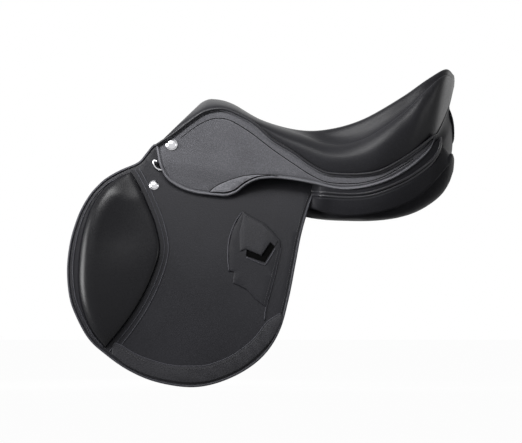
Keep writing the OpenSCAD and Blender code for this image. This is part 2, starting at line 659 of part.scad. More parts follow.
// Skirt band: fixed along the seat seam, above the fold in front and on to the cantle behind
band_foot_px = [[158, 146.9], [166, 148.3], [174, 149.8], [188, 152.4], [202, 155], [213.5, 157],
    [225, 159.2], [239.5, 161.8], [254, 164.4], [273.5, 168], [293, 180.8], [309, 184], [325, 187],
    [342.5, 189.5],
    [360, 189], [380, 184], [399, 176], [410, 168.5], [419, 161.5], [428, 152.5], [437, 139]];
band_end_share = 10 / 12;
band_steps = 48;
band_cols = 3;
band_gap = 2.5;
function band_point(t, k, e) =
    on_skirt(mix(seam_at(band_end_share * t) - [0, band_gap], view(open_at(band_foot_px, t)),
        k / band_cols), e);
module left_skirt_band_body() color(skirt_black) strip(
    [for (i = [0:band_steps]) [for (k = [0:band_cols]) band_point(i / band_steps, k, skirt_out)]],
    [for (i = [0:band_steps]) [for (k = [0:band_cols]) band_point(i / band_steps, k, skirt_in)]]);
module side_strip(inner, outer, top, foot, steps, cols) strip(
    [for (i = [0:steps]) [for (k = [0:cols])
        on_skirt(view(mix(open_at(top, i / steps), open_at(foot, i / steps), k / cols)), outer)]],
    [for (i = [0:steps]) [for (k = [0:cols])
        on_skirt(view(mix(open_at(top, i / steps), open_at(foot, i / steps), k / cols)), inner)]]);
module left_skirt_band() left_skirt_band_body();
module right_skirt_band() right() left_skirt_band_body();

// Sweat flap with its knee block and thigh block, under the flap
sweat_px = [[150, 160], [135, 172], [116, 184], [102, 200], [92, 222], [86, 250], [85, 280], [92, 306],
    [106, 328], [130, 346], [160, 358], [190, 362], [222, 357], [248, 343], [264, 322], [272, 295],
    [278, 262], [284, 232], [292, 205], [298, 190], [298, 180]];
sweat_top = -16;
module left_sweat_flap_body() color([0.1, 0.1, 0.1])
    layer(open_curve(flap_views(sweat_px), 60), sweat_in, sweat_out, sweat_top, -flap_drop);
module left_sweat_flap() left_sweat_flap_body();
module right_sweat_flap() right() left_sweat_flap_body();
block_clear = 2;
block_h = strap_room - block_clear;
block_rim_share = 0.3;
knee_block_px = [[128, 196], [140, 215], [146, 240], [142, 265], [130, 285], [114, 300], [103, 280],
    [101, 250], [107, 222], [116, 203]];
thigh_block_px = [[271, 250], [275, 262], [271, 285], [264, 306], [257, 311], [254, 302], [260, 280],
    [265, 258]];
module block(outline_px, middle_px) color([0.12, 0.12, 0.13])
    pad(closed_curve(flap_views(outline_px), 28), flap_view(middle_px), sweat_out,
        block_h * block_rim_share, block_h * (1 - block_rim_share));
knee_block_mid_px = [122, 248];
thigh_block_mid_px = [265, 282];
module left_knee_block() block(knee_block_px, knee_block_mid_px);
module right_knee_block() right() left_knee_block();
module left_thigh_block() block(thigh_block_px, thigh_block_mid_px);
module right_thigh_block() right() left_thigh_block();

// Panels: a crowned cushion on each side of the gullet, steep in front and flat behind
panel_mid_px = [[152, 184], [175, 182], [210, 184], [250, 190], [290, 198], [315, 203.5], [345, 208.5],
    [385, 206], [415, 196], [438, 178], [450, 166], [455.5, 161]];
panel_half_t_shares = [0.22, 0.3, 0.35, 0.4, 0.45, 0.45, 0.4, 0.5, 0.65, 0.82, 0.72, 0.3];
panel_roll = [56, 52, 46, 38, 28, 22, 14, 10, 6, 2, 0, 0];
panel_side_shares = [0, 0, 0, 0, 0.15, 0.6, 1, 1, 1, 1, 1, 1];
panel_close_shares = [0.75, 1, 1, 1, 1, 1, 1, 1, 1, 1, 0.85, 0.35];
panel_h = 40;
panel_rows = 30;
panel_sides = 18;
panel_square = 0.75;
panel_edge = 0.5;
panel_stand = 3.5;
function rounded(c) = sign(c) * pow(abs(c), panel_square);
function panel_ring(s) =
    let (
        m = view(open_at(panel_mid_px, s)),
        h = panel_h * panel_fill * open_at(panel_half_t_shares, s),
        r = open_at(panel_roll, s),
        e = mix(board_in - panel_edge, panel_stand, open_at(panel_side_shares, s)),
        out = skirt_y(m[0], m[1], e),
        half = (out - gullet_w / 2) / 2 * open_at(panel_close_shares, s),
        mid = gullet_w / 2 + (out - gullet_w / 2) / 2,
        run = sqrt(max(half * half - pow(h * sin(r), 2), h * h / 4)) / cos(r))
    [for (i = [0:panel_sides - 1])
        let (a = -360 * i / panel_sides, p = run * rounded(cos(a)), q = h * rounded(sin(a)))
        [m[0], -(mid + p * cos(r) + q * sin(r)), m[1] - p * sin(r) + q * cos(r)]];
module left_panel_body() color([0.07, 0.07, 0.08])
    loft([for (j = [0:panel_rows]) panel_ring(j / panel_rows)]);
module left_panel() left_panel_body();
module right_panel() right() left_panel_body();

// Facing between skirt band and panel, with piping along its foot
facing_t = 2.5;
facing_out_o = skirt_in - lay_gap;
facing_top_px = [[321, 182], [350, 184], [375, 181], [405, 166], [430, 146], [438, 137]];
facing_foot_px = [[321, 197], [350, 199], [375, 196], [405, 184], [432, 164.5], [441, 146]];
panel_welt_d = 4.4;
module left_panel_facing_body() color([0.1, 0.1, 0.11])
    side_strip(facing_out_o - facing_t, facing_out_o, facing_top_px, facing_foot_px, facing_steps, 2);
module left_panel_facing() left_panel_facing_body();
module right_panel_facing() right() left_panel_facing_body();
foot_step_share = 0.01;
facing_steps = 24;
function foot_at(t) = view(open_at(facing_foot_px, t));
function foot_normal(t) =
    let (d = foot_at(t + foot_step_share) - foot_at(t - foot_step_share)) unit([d[1], -d[0]]);
module left_panel_welt_body() color([0.05, 0.05, 0.05]) piping(
    [for (i = [0:facing_steps])
        on_skirt(foot_at(i / facing_steps) + foot_normal(i / facing_steps) * (panel_welt_d / 2 + lay_gap),
            facing_out_o - facing_t / 2)], panel_welt_d);
module left_panel_welt() left_panel_welt_body();
module right_panel_welt() right() left_panel_welt_body();

// Facing round the back under the cantle
cantle_share = 0.8;
cantle_h = 30;
cantle_t = 3;
cantle_span_share = 0.8;
cantle_steps = 24;
function cantle_point(t, down, in) = seat_under(cantle_share, t, lay_gap + down) - [in, 0, 0];
module cantle_facing() color([0.1, 0.1, 0.11]) loft([for (i = [0:cantle_steps])
    let (t = cantle_span_share * (2 * i / cantle_steps - 1))
    [cantle_point(t, 0, 0), cantle_point(t, cantle_t, cantle_t), cantle_point(t, cantle_h, cantle_t),
     cantle_point(t, cantle_h, 0)]]);

// Leather pockets over the points of the tree
pocket_t = 4;
pocket_px = [[150, 192], [165, 192], [186, 196], [190, 210], [172, 230], [152, 230], [146, 212]];
module left_point_pocket_body() color([0.1, 0.1, 0.1])
    layer(closed_curve(views(pocket_px), 28), board_in - lay_gap - pocket_t, board_in - lay_gap, 0,
        board_foot - pocket_t);
module left_point_pocket() left_point_pocket_body();
module right_point_pocket() right() left_point_pocket_body();

// Leather loop behind the cantle
loop_w = 18;
loop_t = 3;
loop_px = [[449.7, 107.4], [450.5, 109], [452.5, 113], [454.2, 121], [454.6, 132], [453.5, 141],
    [449, 147], [442, 148.5], [436, 148], [431.4, 147.8]];
loop_steps = 24;
function loop_side(path, half) = [for (i = [0:len(path) - 1])
    let (t = unit(path[min(i + 1, len(path) - 1)] - path[max(i - 1, 0)])) path[i] + half * [-t[1], t[0]]];
module rear_loop() color([0.1, 0.1, 0.1]) {
    path = open_curve(views(loop_px), loop_steps);
    translate([0, loop_w / 2, 0]) rotate([90, 0, 0]) linear_extrude(loop_w)
        polygon(concat(loop_side(path, loop_t / 2), wound(loop_side(path, -loop_t / 2))));
}

tree();
head_plate();
tree_springs();
seat_webbing();
girth_webs();
seat_foam();
seat_cover();
seat_welt();
left_skirt_band();
right_skirt_band();
nailheads();
left_stirrup_bar();
right_stirrup_bar();
stirrup_bar_rivets();
catch_pins();
left_flap_top();
right_flap_top();
left_sweat_flap();
right_sweat_flap();
left_knee_block();
right_knee_block();
left_thigh_block();
right_thigh_block();
left_panel();
right_panel();
left_panel_welt();
right_panel_welt();
left_panel_facing();
right_panel_facing();
cantle_facing();
rear_loop();
left_point_pocket();
right_point_pocket();
gullet_lining();
left_flap();
right_flap();
left_knee_pad();
right_knee_pad();
left_wear_band();
right_wear_band();
left_keeper();
right_keeper();
left_flap_stud();
right_flap_stud();
left_dee_chape();
right_dee_chape();
left_dee();
right_dee();
left_skirt();
right_skirt();
left_skirt_patch();
right_skirt_patch();
left_bar_catch();
right_bar_catch();
left_front_strap();
left_rear_strap();
right_front_strap();
right_rear_strap();
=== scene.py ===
import math
import bmesh
import bpy
from mathutils import Matrix, Vector
from mathutils.bvhtree import BVHTree
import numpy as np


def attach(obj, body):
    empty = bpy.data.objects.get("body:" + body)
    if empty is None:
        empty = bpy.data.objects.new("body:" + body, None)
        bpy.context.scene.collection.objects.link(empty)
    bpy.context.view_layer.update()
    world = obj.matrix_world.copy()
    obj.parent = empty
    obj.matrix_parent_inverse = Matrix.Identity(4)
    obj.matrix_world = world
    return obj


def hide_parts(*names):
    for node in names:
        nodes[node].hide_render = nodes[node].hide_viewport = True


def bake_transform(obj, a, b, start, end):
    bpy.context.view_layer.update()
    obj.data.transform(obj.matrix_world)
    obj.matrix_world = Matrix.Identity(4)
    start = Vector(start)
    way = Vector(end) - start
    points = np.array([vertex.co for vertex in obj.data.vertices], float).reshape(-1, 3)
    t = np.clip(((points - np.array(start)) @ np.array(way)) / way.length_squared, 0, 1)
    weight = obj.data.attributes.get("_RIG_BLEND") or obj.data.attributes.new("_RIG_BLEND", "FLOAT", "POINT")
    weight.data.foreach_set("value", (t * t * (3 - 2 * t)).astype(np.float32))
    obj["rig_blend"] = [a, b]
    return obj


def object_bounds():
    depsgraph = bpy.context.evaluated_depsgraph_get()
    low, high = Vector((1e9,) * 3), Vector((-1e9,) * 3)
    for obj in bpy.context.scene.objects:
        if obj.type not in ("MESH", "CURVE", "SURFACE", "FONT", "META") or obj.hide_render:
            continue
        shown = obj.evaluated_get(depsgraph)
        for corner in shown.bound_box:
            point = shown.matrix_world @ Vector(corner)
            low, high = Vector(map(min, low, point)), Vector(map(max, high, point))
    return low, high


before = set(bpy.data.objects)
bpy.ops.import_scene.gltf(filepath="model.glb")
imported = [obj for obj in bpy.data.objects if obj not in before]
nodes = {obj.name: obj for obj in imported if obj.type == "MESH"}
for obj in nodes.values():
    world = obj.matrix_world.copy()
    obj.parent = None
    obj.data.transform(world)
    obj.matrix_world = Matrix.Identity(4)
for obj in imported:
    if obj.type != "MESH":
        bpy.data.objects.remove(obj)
cad_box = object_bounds()


# Tree, head plate, springs, stirrup bars and catches. The tree is laminated beech with a riveted steel
# arch under its head and two flat steel springs. The bars are forged steel. Their solids are kept.
class Wire:
    """A shader value that takes part in sums: each operator adds one Math node to its finish."""

    def __init__(self, finish, socket):
        self.finish = finish
        self.socket = socket

    def join(self, operation, first, second):
        return self.finish.node("ShaderNodeMath", {"operation": operation}, {0: first, 1: second})

    def __add__(self, other):
        return self.join("ADD", self, other)

    def __sub__(self, other):
        return self.join("SUBTRACT", self, other)

    def __rsub__(self, other):
        return self.join("SUBTRACT", other, self)

    def __mul__(self, other):
        return self.join("MULTIPLY", self, other)

    __radd__ = __add__
    __rmul__ = __mul__


class Finish:
    """The material of one kind of leather, metal, wood or cloth, with a Principled shader."""

    def __init__(self, name, values):
        self.material = bpy.data.materials.new(name)
        self.material.use_nodes = True
        self.tree = self.material.node_tree
        self.shader = self.tree.nodes["Principled BSDF"]
        self.shade(values)

    def node(self, kind, settings, values, out=0):
        made = self.tree.nodes.new(kind)
        for name, value in settings.items():
            setattr(made, name, value)
        for socket, value in values.items():
            self.feed(made.inputs[socket], value)
        return Wire(self, made.outputs[out])

    def feed(self, socket, value):
        if isinstance(value, Wire):
            self.tree.links.new(value.socket, socket)
        else:
            socket.default_value = value

    def shade(self, values):
        for name, value in values.items():
            self.feed(self.shader.inputs[name], value)

    def place(self, scale=(1, 1, 1)):
        point = self.node("ShaderNodeTexCoord", {}, {}, "Object")
        return self.node("ShaderNodeMapping", {}, {"Vector": point, "Scale": scale})

    def noise(self, place, scale, detail):
        return self.node("ShaderNodeTexNoise", {}, {"Vector": place, "Scale": scale, "Detail": detail})

    def between(self, share, low, high):
        """A mix of two colours, each a triple or the wire of another mix."""
        ends = [end if isinstance(end, Wire) else (*end, 1) for end in (low, high)]
        return self.node("ShaderNodeMix", {"data_type": "RGBA"}, {0: share, 6: ends[0], 7: ends[1]}, 2)

    def relief(self, height, depth):
        return self.node("ShaderNodeBump", {}, {"Strength": 1.0, "Distance": depth, "Height": height})


def finish_nodes(finish, *names):
    for name in names:
        for slot in nodes[name].material_slots:
            slot.material = finish.material


beech = Finish("beech_ply", {"Specular IOR Level": 0.3})
ply_place = beech.place((8, 70, 70))
ply_rings = beech.noise(ply_place, 3.0, 5.0)
ply_pores = beech.noise(ply_place, 26.0, 2.0)
beech.shade({
    "Base Color": beech.between(ply_rings * 0.7 + ply_pores * 0.3, (0.30, 0.17, 0.08), (0.62, 0.43, 0.24)),
    "Roughness": ply_pores * 0.25 + 0.42,
    "Normal": beech.relief(ply_pores, 0.0003)})
finish_nodes(beech, "tree")


def metal(name, colour, rough, brush, scratch):
    finish = Finish(name, {"Base Color": (*colour, 1), "Metallic": 1.0})
    streaks = finish.noise(finish.place(brush), 1.0, 3.0)
    smears = finish.noise(finish.place(), 90.0, 4.0)
    finish.shade({
        "Roughness": streaks * 0.10 + smears * 0.08 + rough,
        "Normal": finish.relief(streaks, scratch)})
    return finish


spring_steel = metal("spring_steel", (0.34, 0.35, 0.37), 0.32, (90, 1800, 1800), 0.00006)
forged_steel = metal("forged_steel", (0.52, 0.53, 0.55), 0.24, (300, 1200, 1200), 0.00004)
finish_nodes(spring_steel, "tree_springs", "head_plate")
finish_nodes(forged_steel, "left_stirrup_bar", "right_stirrup_bar", "stirrup_bar_rivets", "catch_pins",
             "left_bar_catch", "right_bar_catch")


# Webs: jute webbing is strained over the open middle of the tree, and two short webs on each side are
# tacked to the tree and carry the girth straps. The weave is drawn across and along each web.
jute = Finish("jute_webbing", {"Specular IOR Level": 0.15})
weft = jute.node("ShaderNodeTexWave", {"bands_direction": "X"}, {
    "Vector": jute.place(), "Scale": 320.0, "Distortion": 0.6, "Detail": 1.0})
warp = jute.node("ShaderNodeTexWave", {"bands_direction": "DIAGONAL"}, {
    "Vector": jute.place(), "Scale": 260.0, "Distortion": 0.6, "Detail": 1.0})
fibre = jute.noise(jute.place(), 60.0, 5.0)
weave = weft * 0.35 + warp * 0.35 + fibre * 0.3
jute.shade({
    "Base Color": jute.between(weave, (0.27, 0.22, 0.13), (0.66, 0.60, 0.44)),
    "Roughness": fibre * 0.2 + 0.7,
    "Normal": jute.relief(weft + warp, 0.0005)})
finish_nodes(jute, "seat_webbing", "girth_webs")


# Girth straps, sweat flaps, point pockets, gullet lining and dee chapes: plain bridle leather, cut flat,
# and hung from the webs or sewn to the panels and flaps. Their solids are kept.
# Near black: real edge ink on cut edges, and painted shade where it is laid along the skirt's crease.
ink_and_crease_shade = (0.003, 0.003, 0.003)


def leather(name, dark, pale, rough, cells, depth, gloss):
    """Grained leather: the wear attribute over 0 makes a ridge pale, real rubbing with a painted highlight on
    its crest, and under 0 makes it near black, real edge ink on a cut edge and painted shade in a crease.
    """
    finish = Finish(name, {"Specular IOR Level": gloss})
    place = finish.place()
    tone = finish.noise(place, 11.0, 4.0)
    grain = finish.node("ShaderNodeTexVoronoi", {}, {"Vector": place, "Scale": cells}, "Distance")
    pores = finish.noise(place, cells * 1.7, 3.0)
    rub_ink_and_painted_light = finish.node("ShaderNodeAttribute", {"attribute_name": "wear"}, {}, "Fac")
    # The pale ridge colour is far lighter than the leather: a painted highlight over real rubbing.
    mark_and_painted_highlight = tuple(2.4 * c for c in pale)
    body = finish.between(tone * 0.45 + grain * 0.35, dark, pale)
    # Near black where the attribute is under 0: edge ink, and painted shade in the skirt's crease.
    ink_and_painted_shade = finish.between(rub_ink_and_painted_light * -1.0, body, ink_and_crease_shade)
    finish.shade({
        "Base Color": finish.between(rub_ink_and_painted_light, ink_and_painted_shade, mark_and_painted_highlight),
        "Roughness": tone * 0.12 + grain * 0.14 - rub_ink_and_painted_light * 0.08 + (rough - 0.13),
        "Normal": finish.relief(grain * 0.7 + pores * 0.5, depth)})
    return finish


plain_leather = leather(
    "plain_leather", (0.010, 0.010, 0.012), (0.042, 0.042, 0.047), 0.50, 700, 0.0002, 0.06)
finish_nodes(plain_leather, "left_front_strap", "left_rear_strap", "right_front_strap", "right_rear_strap",
             "left_sweat_flap", "right_sweat_flap", "left_point_pocket", "right_point_pocket",
             "gullet_lining", "left_dee_chape", "right_dee_chape")


# Head cover: thin leather glued over the head and points of the tree, where they show in front. It is a
# skin drawn off the tree's own solid, and it ends behind the pommel, under the seat.
cover_t = 0.0008
cover_end = (0.06, 0, 0)
same_point = 1e-5
on_plane = 1e-6


def slice_at(bm, place, normal, clear=False):
    """Cut every face at a plane, and clear what lies beyond it where asked."""
    bmesh.ops.bisect_plane(bm, geom=bm.verts[:] + bm.edges[:] + bm.faces[:], dist=on_plane,
                           plane_co=place, plane_no=normal, clear_outer=clear)


def piece(name, bm, finish):
    """A smooth-shaded object made from a bmesh, with its finish."""
    for face in bm.faces:
        face.smooth = True
    mesh = bpy.data.meshes.new(name)
    bm.to_mesh(mesh)
    bm.free()
    mesh.materials.append(finish.material)
    made = bpy.data.objects.new(name, mesh)
    bpy.context.scene.collection.objects.link(made)
    return made


tree_skin = bmesh.new()
tree_skin.from_mesh(nodes["tree"].data)
bmesh.ops.remove_doubles(tree_skin, verts=tree_skin.verts, dist=same_point)
slice_at(tree_skin, cover_end, (1, 0, 0), clear=True)
tree_skin.normal_update()
for v in tree_skin.verts:
    v.co += v.normal * cover_t
head_cover = piece("head_cover", tree_skin, plain_leather)
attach(head_cover, "saddle")


# Panels and blocks: each is a leather case stuffed with wool flock or foam, which swells between its seams.
# A copy of the cushion's solid is blown up with cloth pressure, held to a small swell, and smoothed.
smooth_leather = leather(
    "smooth_leather", (0.005, 0.005, 0.006), (0.024, 0.024, 0.027), 0.42, 700, 0.00005, 0.03)
stuffing_pressure = 4.0
stuffing_frames = 20
swell = 0.006
swell_kept_back = 0.6
cushion_voxels = {"panel": 0.005, "knee_block": 0.004, "thigh_block": 0.004}


def pair(name, bm, finish):
    """The left piece, and its mirror image on the right."""
    other = bm.copy()
    bmesh.ops.scale(other, vec=(1, -1, 1), verts=other.verts)
    bmesh.ops.reverse_faces(other, faces=other.faces)
    left = piece("left_" + name, bm, finish)
    return {"left": left, "right": piece("right_" + name, other, finish)}


def settled(obj):
    """The object's mesh with its modifiers applied, as a bmesh."""
    bpy.context.view_layer.update()
    ready = obj.evaluated_get(bpy.context.evaluated_depsgraph_get())
    bm = bmesh.new()
    bm.from_mesh(ready.to_mesh())
    ready.to_mesh_clear()
    return bm


def relax(bm):
    bmesh.ops.smooth_vert(bm, verts=bm.verts, factor=0.5, use_axis_x=True, use_axis_y=True, use_axis_z=True)


def stuffed(node, voxel):
    """The node's solid, drawn in and then swollen under pressure."""
    bm = bmesh.new()
    bm.from_mesh(nodes[node].data)
    bmesh.ops.remove_doubles(bm, verts=bm.verts, dist=same_point)
    case = piece("case_" + node, bm, smooth_leather)
    remesh = case.modifiers.new("remesh", "REMESH")
    remesh.mode = "VOXEL"
    remesh.voxel_size = voxel
    bm = settled(case)
    case.modifiers.clear()
    relax(bm)
    for v in bm.verts:
        v.co -= v.normal * swell * swell_kept_back
    bm.to_mesh(case.data)
    rest = [v.co.copy() for v in bm.verts]
    bm.free()
    cloth = case.modifiers.new("stuffing", "CLOTH")
    cloth.settings.quality = 4
    cloth.settings.use_pressure = True
    cloth.settings.uniform_pressure_force = stuffing_pressure
    cloth.settings.effector_weights.gravity = 0
    cloth.point_cache.frame_end = stuffing_frames
    for step in range(1, stuffing_frames + 1):
        bpy.context.scene.frame_set(step)
    bm = settled(case)
    for v, start in zip(bm.verts, rest):
        move = v.co - start
        if move.length > swell:
            v.co = start + move * (swell / move.length)
    for turn in range(2):
        relax(bm)
    bmesh.ops.recalc_face_normals(bm, faces=bm.faces)
    bpy.data.objects.remove(case)
    bpy.context.scene.frame_set(1)
    return bm


for name, voxel in cushion_voxels.items():
    case = stuffed("left_" + name, voxel)
    for side, cushion in pair(name + "_cushion", case, smooth_leather).items():
        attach(cushion, "saddle")
        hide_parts(f"{side}_{name}")
        subdivision = cushion.modifiers.new("smooth", "SUBSURF")
        subdivision.levels = 1
        subdivision.render_levels = 1


# Facings and their piping: a strip of leather closes each side between skirt and panel, and two rows of
# round piping are sewn along it. Below them the top of the panel slopes out to the panel's swell. Places
# are read in the side view, in its pixels, and a side hangs from the fold, which slopes and turns in plan.
seat_length = 0.428
seat_pixels = 285.4
pixel = seat_length / seat_pixels
view_origin = (262, 222)
tilt = math.atan2(33, 181)
plan = math.radians(5)
fold_out = 0.114
flap_drop = 0.331
flap_spread = 0.080
hang_turn = math.radians(75)
lean_in = 0.25
skirt_draw = 0.038
skirt_draw_from = 370
skirt_draw_over = 75
path_step = 0.004
fine_step = 0.003
hair = 0.0001


def view(p):
    """The place in metres of a pixel of the side view."""
    return Vector(((p[0] - view_origin[0]) * pixel, (view_origin[1] - p[1]) * pixel))


fold_mid = view((227.5, 169.5))


def spline(a, b, c, d, t):
    """A smooth curve from b to c at a share t, with a before it and d after it."""
    return (2 * b + (c - a) * t + (2 * a - 5 * b + 4 * c - d) * t * t
            + (3 * b - a - 3 * c + d) * t * t * t) / 2


def trace(points, step):
    """A smooth curve through given points, with its own points about one step apart."""
    pts = [Vector(p) for p in points]
    n = len(pts)
    fine = []
    for i in range(n - 1):
        ends = [pts[min(max(k, 0), n - 1)] for k in (i - 1, i, i + 1, i + 2)]
        fine += [spline(*ends, k / 12) for k in range(12)]
    fine.append(pts[-1])
    gone = [0.0]
    for p, q in zip(fine, fine[1:]):
        gone.append(gone[-1] + (q - p).length)
    count = max(3, round(gone[-1] / step))
    even = []
    j = 0
    for k in range(count + 1):
        want = gone[-1] * k / count
        while j < len(gone) - 2 and gone[j + 1] < want:
            j += 1
        even.append(fine[j].lerp(fine[j + 1], (want - gone[j]) / max(gone[j + 1] - gone[j], 1e-9)))
    return even


def hang(w):
    """How far the side stands out from the fold, at a height over it."""
    if w > 0:
        return -lean_in * w
    return flap_spread * math.sin(hang_turn * min(-w / flap_drop, 1)) / math.sin(hang_turn)


def fold_place(x, z, out):
    """Where a place of the side view lies along the fold and over it."""
    dx = (x - fold_mid.x + out * math.sin(plan)) / math.cos(plan)
    dz = z - fold_mid.y
    return dx * math.cos(tilt) - dz * math.sin(tilt), dx * math.sin(tilt) + dz * math.cos(tilt)


def on_side(p, lift, course=hang):
    """The point of the left side over a place in the side view, lifted off a layer's own course."""
    out = 0
    for turn in range(5):
        u, w = fold_place(p[0], p[1], out)
        out = course(w) + lift
    y = fold_out + (u * math.cos(tilt) + w * math.sin(tilt)) * math.sin(plan) + out * math.cos(plan)
    return Vector((p[0], -y, p[1]))


def on_skirt(p, lift, course=hang):
    """The same for skirts and seat, which draw in round the cantle."""
    past = (p[0] / pixel + view_origin[0] - skirt_draw_from) / skirt_draw_over
    return on_side(p, lift, course) + Vector((0, skirt_draw * max(0, past) ** 2, 0))


def piping(paths, radius, rub_ink_and_painted_light=0.0):
    """Round piping along paths, with closed ends."""
    cord = bpy.data.curves.new("piping", "CURVE")
    cord.dimensions = "3D"
    cord.bevel_depth = radius
    cord.bevel_resolution = 3
    cord.use_fill_caps = True
    for path in paths:
        run = cord.splines.new("POLY")
        run.points.add(len(path) - 1)
        for point, place in zip(run.points, path):
            point.co = (*place, 1)
    drawn = bpy.data.objects.new("piping", cord)
    bpy.context.scene.collection.objects.link(drawn)
    bm = settled(drawn)
    bpy.data.objects.remove(drawn)
    # The wear attribute: over 0 a pale crest of wear and painted highlight, under 0 near black for painted
    # shade in a crease.
    wear = bm.verts.layers.float.new("wear")
    for v in bm.verts:
        v[wear] = rub_ink_and_painted_light
    bmesh.ops.remove_doubles(bm, verts=bm.verts, dist=1e-6)
    bmesh.ops.recalc_face_normals(bm, faces=bm.faces)
    return bm


def side_line(points, step=path_step):
    """A smooth curve through pixels of the side view."""
    return trace([view(p) for p in points], step)


def fit_pair(name, bm, finish, body, node=None):
    """A pair that rides on a body and may replace a node, with {} for the side in the names of both."""
    for side, made in pair(name, bm, finish).items():
        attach(made, body.format(side))
        if node:
            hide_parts(node.format(side))


piping_leather = leather(
    "piping_leather", (0.006, 0.006, 0.007), (0.026, 0.026, 0.030), 0.32, 700, 0.00004, 0.20)
facing_top = [(308, 180), (321, 182), (350, 184), (375, 181), (405, 166), (430, 146), (439.5, 136)]
facing_foot = [
    (308, 195), (321, 197), (350, 199), (375, 196), (405, 184), (427, 169), (437, 156), (440.5, 145),
    (440.5, 137)]
panel_swell = [
    (308, 208, 0.118), (320, 210.5, 0.126), (345, 216, 0.1405), (370, 214.5, 0.143), (395, 208.5, 0.137),
    (415, 199, 0.1255), (428, 188, 0.1135), (437, 178.5, 0.102), (444, 168, 0.084), (447, 158, 0.050)]
leather_t = 0.0025
facing_lift = 0.0071
facing_points = 60
facing_turn = 0.022
facing_turn_x = view((323, 0)).x
facing_turn_over = 0.018
welt_radius = 0.0022
welt_rise = 0.0072
welts = ((0.0, 0.0094), (0.0052, 0.0084))
welt_meet = 0.75
top_tuck = 0.014
top_tuck_from = 48
top_tuck_over = 11
skin_depth = 0.003
skin_from = 38
skin_over = 14
top_bulge = 0.001
top_run = side_line(facing_top)
foot_run = side_line(facing_foot)


def ease(t):
    """A soft step from 0 to 1."""
    t = min(max(t, 0), 1)
    return t * t * (3 - 2 * t)


def on_facing(p, lift):
    """A point of the facing, whose front end turns in behind the flap."""
    return on_skirt(p, lift - facing_turn * ease((facing_turn_x - p.x) / facing_turn_over))


def stiffen(bm, thick):
    """Give an open sheet its thickness."""
    bmesh.ops.recalc_face_normals(bm, faces=bm.faces)
    bmesh.ops.solidify(bm, geom=bm.faces[:], thickness=thick)
    bmesh.ops.recalc_face_normals(bm, faces=bm.faces)


def strip(upper, lower, bulge):
    """A strip of leather between two edges with as many points."""
    bm = bmesh.new()
    bmesh.ops.create_grid(bm, x_segments=len(upper) - 1, y_segments=8, size=1)
    for v in bm.verts:
        k = round((v.co.x + 1) / 2 * (len(upper) - 1))
        t = (v.co.y + 1) / 2
        v.co = upper[k].lerp(lower[k], t) - Vector((0, bulge * math.sin(math.pi * t), 0))
    stiffen(bm, leather_t)
    return bm


def evenly(run):
    """As many points of a run as the facing has."""
    last = facing_points - 1
    return [run[round(k / last * (len(run) - 1))] for k in range(facing_points)]


upper_edge = [on_facing(p, facing_lift) for p in evenly(top_run)]
lower_edge = [on_facing(p, facing_lift) for p in evenly(foot_run)]
facing = strip(upper_edge, lower_edge, 0)
fit_pair("facing_leather", facing, smooth_leather, "saddle", "{}_panel_facing")
swell_line = [Vector((view(p).x, -p[2], view(p).y)) for p in panel_swell]
panel_solid = bmesh.new()
panel_solid.from_mesh(nodes["left_panel"].data)
panel_skin = BVHTree.FromBMesh(panel_solid)
panel_solid.free()
tucked_edge = []
for k, p in enumerate(lower_edge):
    tucked_edge.append(p + Vector((0, top_tuck * ease((k - top_tuck_from) / top_tuck_over), 0)))
swell_edge = []
for k, p in enumerate(evenly(trace(swell_line, path_step))):
    spot, normal = panel_skin.find_nearest(p)[:2]
    swell_edge.append(p.lerp(spot - normal * skin_depth, ease((k - skin_from) / skin_over)))
panel_top = strip(tucked_edge, swell_edge, top_bulge)
fit_pair("panel_top", panel_top, smooth_leather, "saddle")
welt_rows = []
for drop, lift in welts:
    row = []
    for k, p in enumerate(foot_run):
        apart = 1 - ease((k / len(foot_run) - welt_meet) / (1 - welt_meet))
        row.append(on_facing(p + Vector((0, (welt_rise - drop) * apart)), lift))
    welt_rows.append(row)
panel_piping = piping(welt_rows, welt_radius)
fit_pair("panel_piping", panel_piping, piping_leather, "saddle", "{}_panel_welt")


# Flaps: one sheet of leather on each side, sewn under the skirt and free to lift at the fold. The edge is
# bound, creased and stitched, and the sheet is notched where the bracket of the stirrup bar passes.
flap_leather = leather(
    "flap_leather", (0.004, 0.004, 0.005), (0.022, 0.022, 0.026), 0.46, 620, 0.00016, 0.12)
thread = Finish("waxed_thread", {"Specular IOR Level": 0.3})
twist = thread.noise(thread.place(), 900.0, 2.0)
thread.shade({
    "Base Color": thread.between(twist, (0.008, 0.008, 0.009), (0.05, 0.05, 0.055)),
    "Roughness": twist * 0.2 + 0.45,
    "Normal": thread.relief(twist, 0.0001)})


corner_least = 0.6
neighbours = 6
near_by = 2.5
round_about = 2.2
narrow_share = 0.42


def inward(outline, depth, most):
    """The outline drawn in by a depth, less where the pattern is narrow for the most that is drawn in."""
    n = len(outline)
    area = sum(outline[i - 1].x * outline[i].y - outline[i].x * outline[i - 1].y for i in range(n))
    turn = 1 if area > 0 else -1
    step = (outline[1] - outline[0]).length
    ring = []
    for i, p in enumerate(outline):
        a = (p - outline[i - 1]).normalized()
        b = (outline[(i + 1) % n] - p).normalized()
        mean = Vector((-(a.y + b.y), a.x + b.x)).normalized()
        square = max(corner_least, mean.x * -a.y + mean.y * a.x)
        room = most
        for k in range(neighbours, n - neighbours, 2):
            gap = (outline[(i + k) % n] - p).length
            if gap < near_by * most and min(k, n - k) * step > round_about * gap:
                room = min(room, gap * narrow_share)
        ring.append(p + mean * (turn * depth * room / most / square))
    return ring


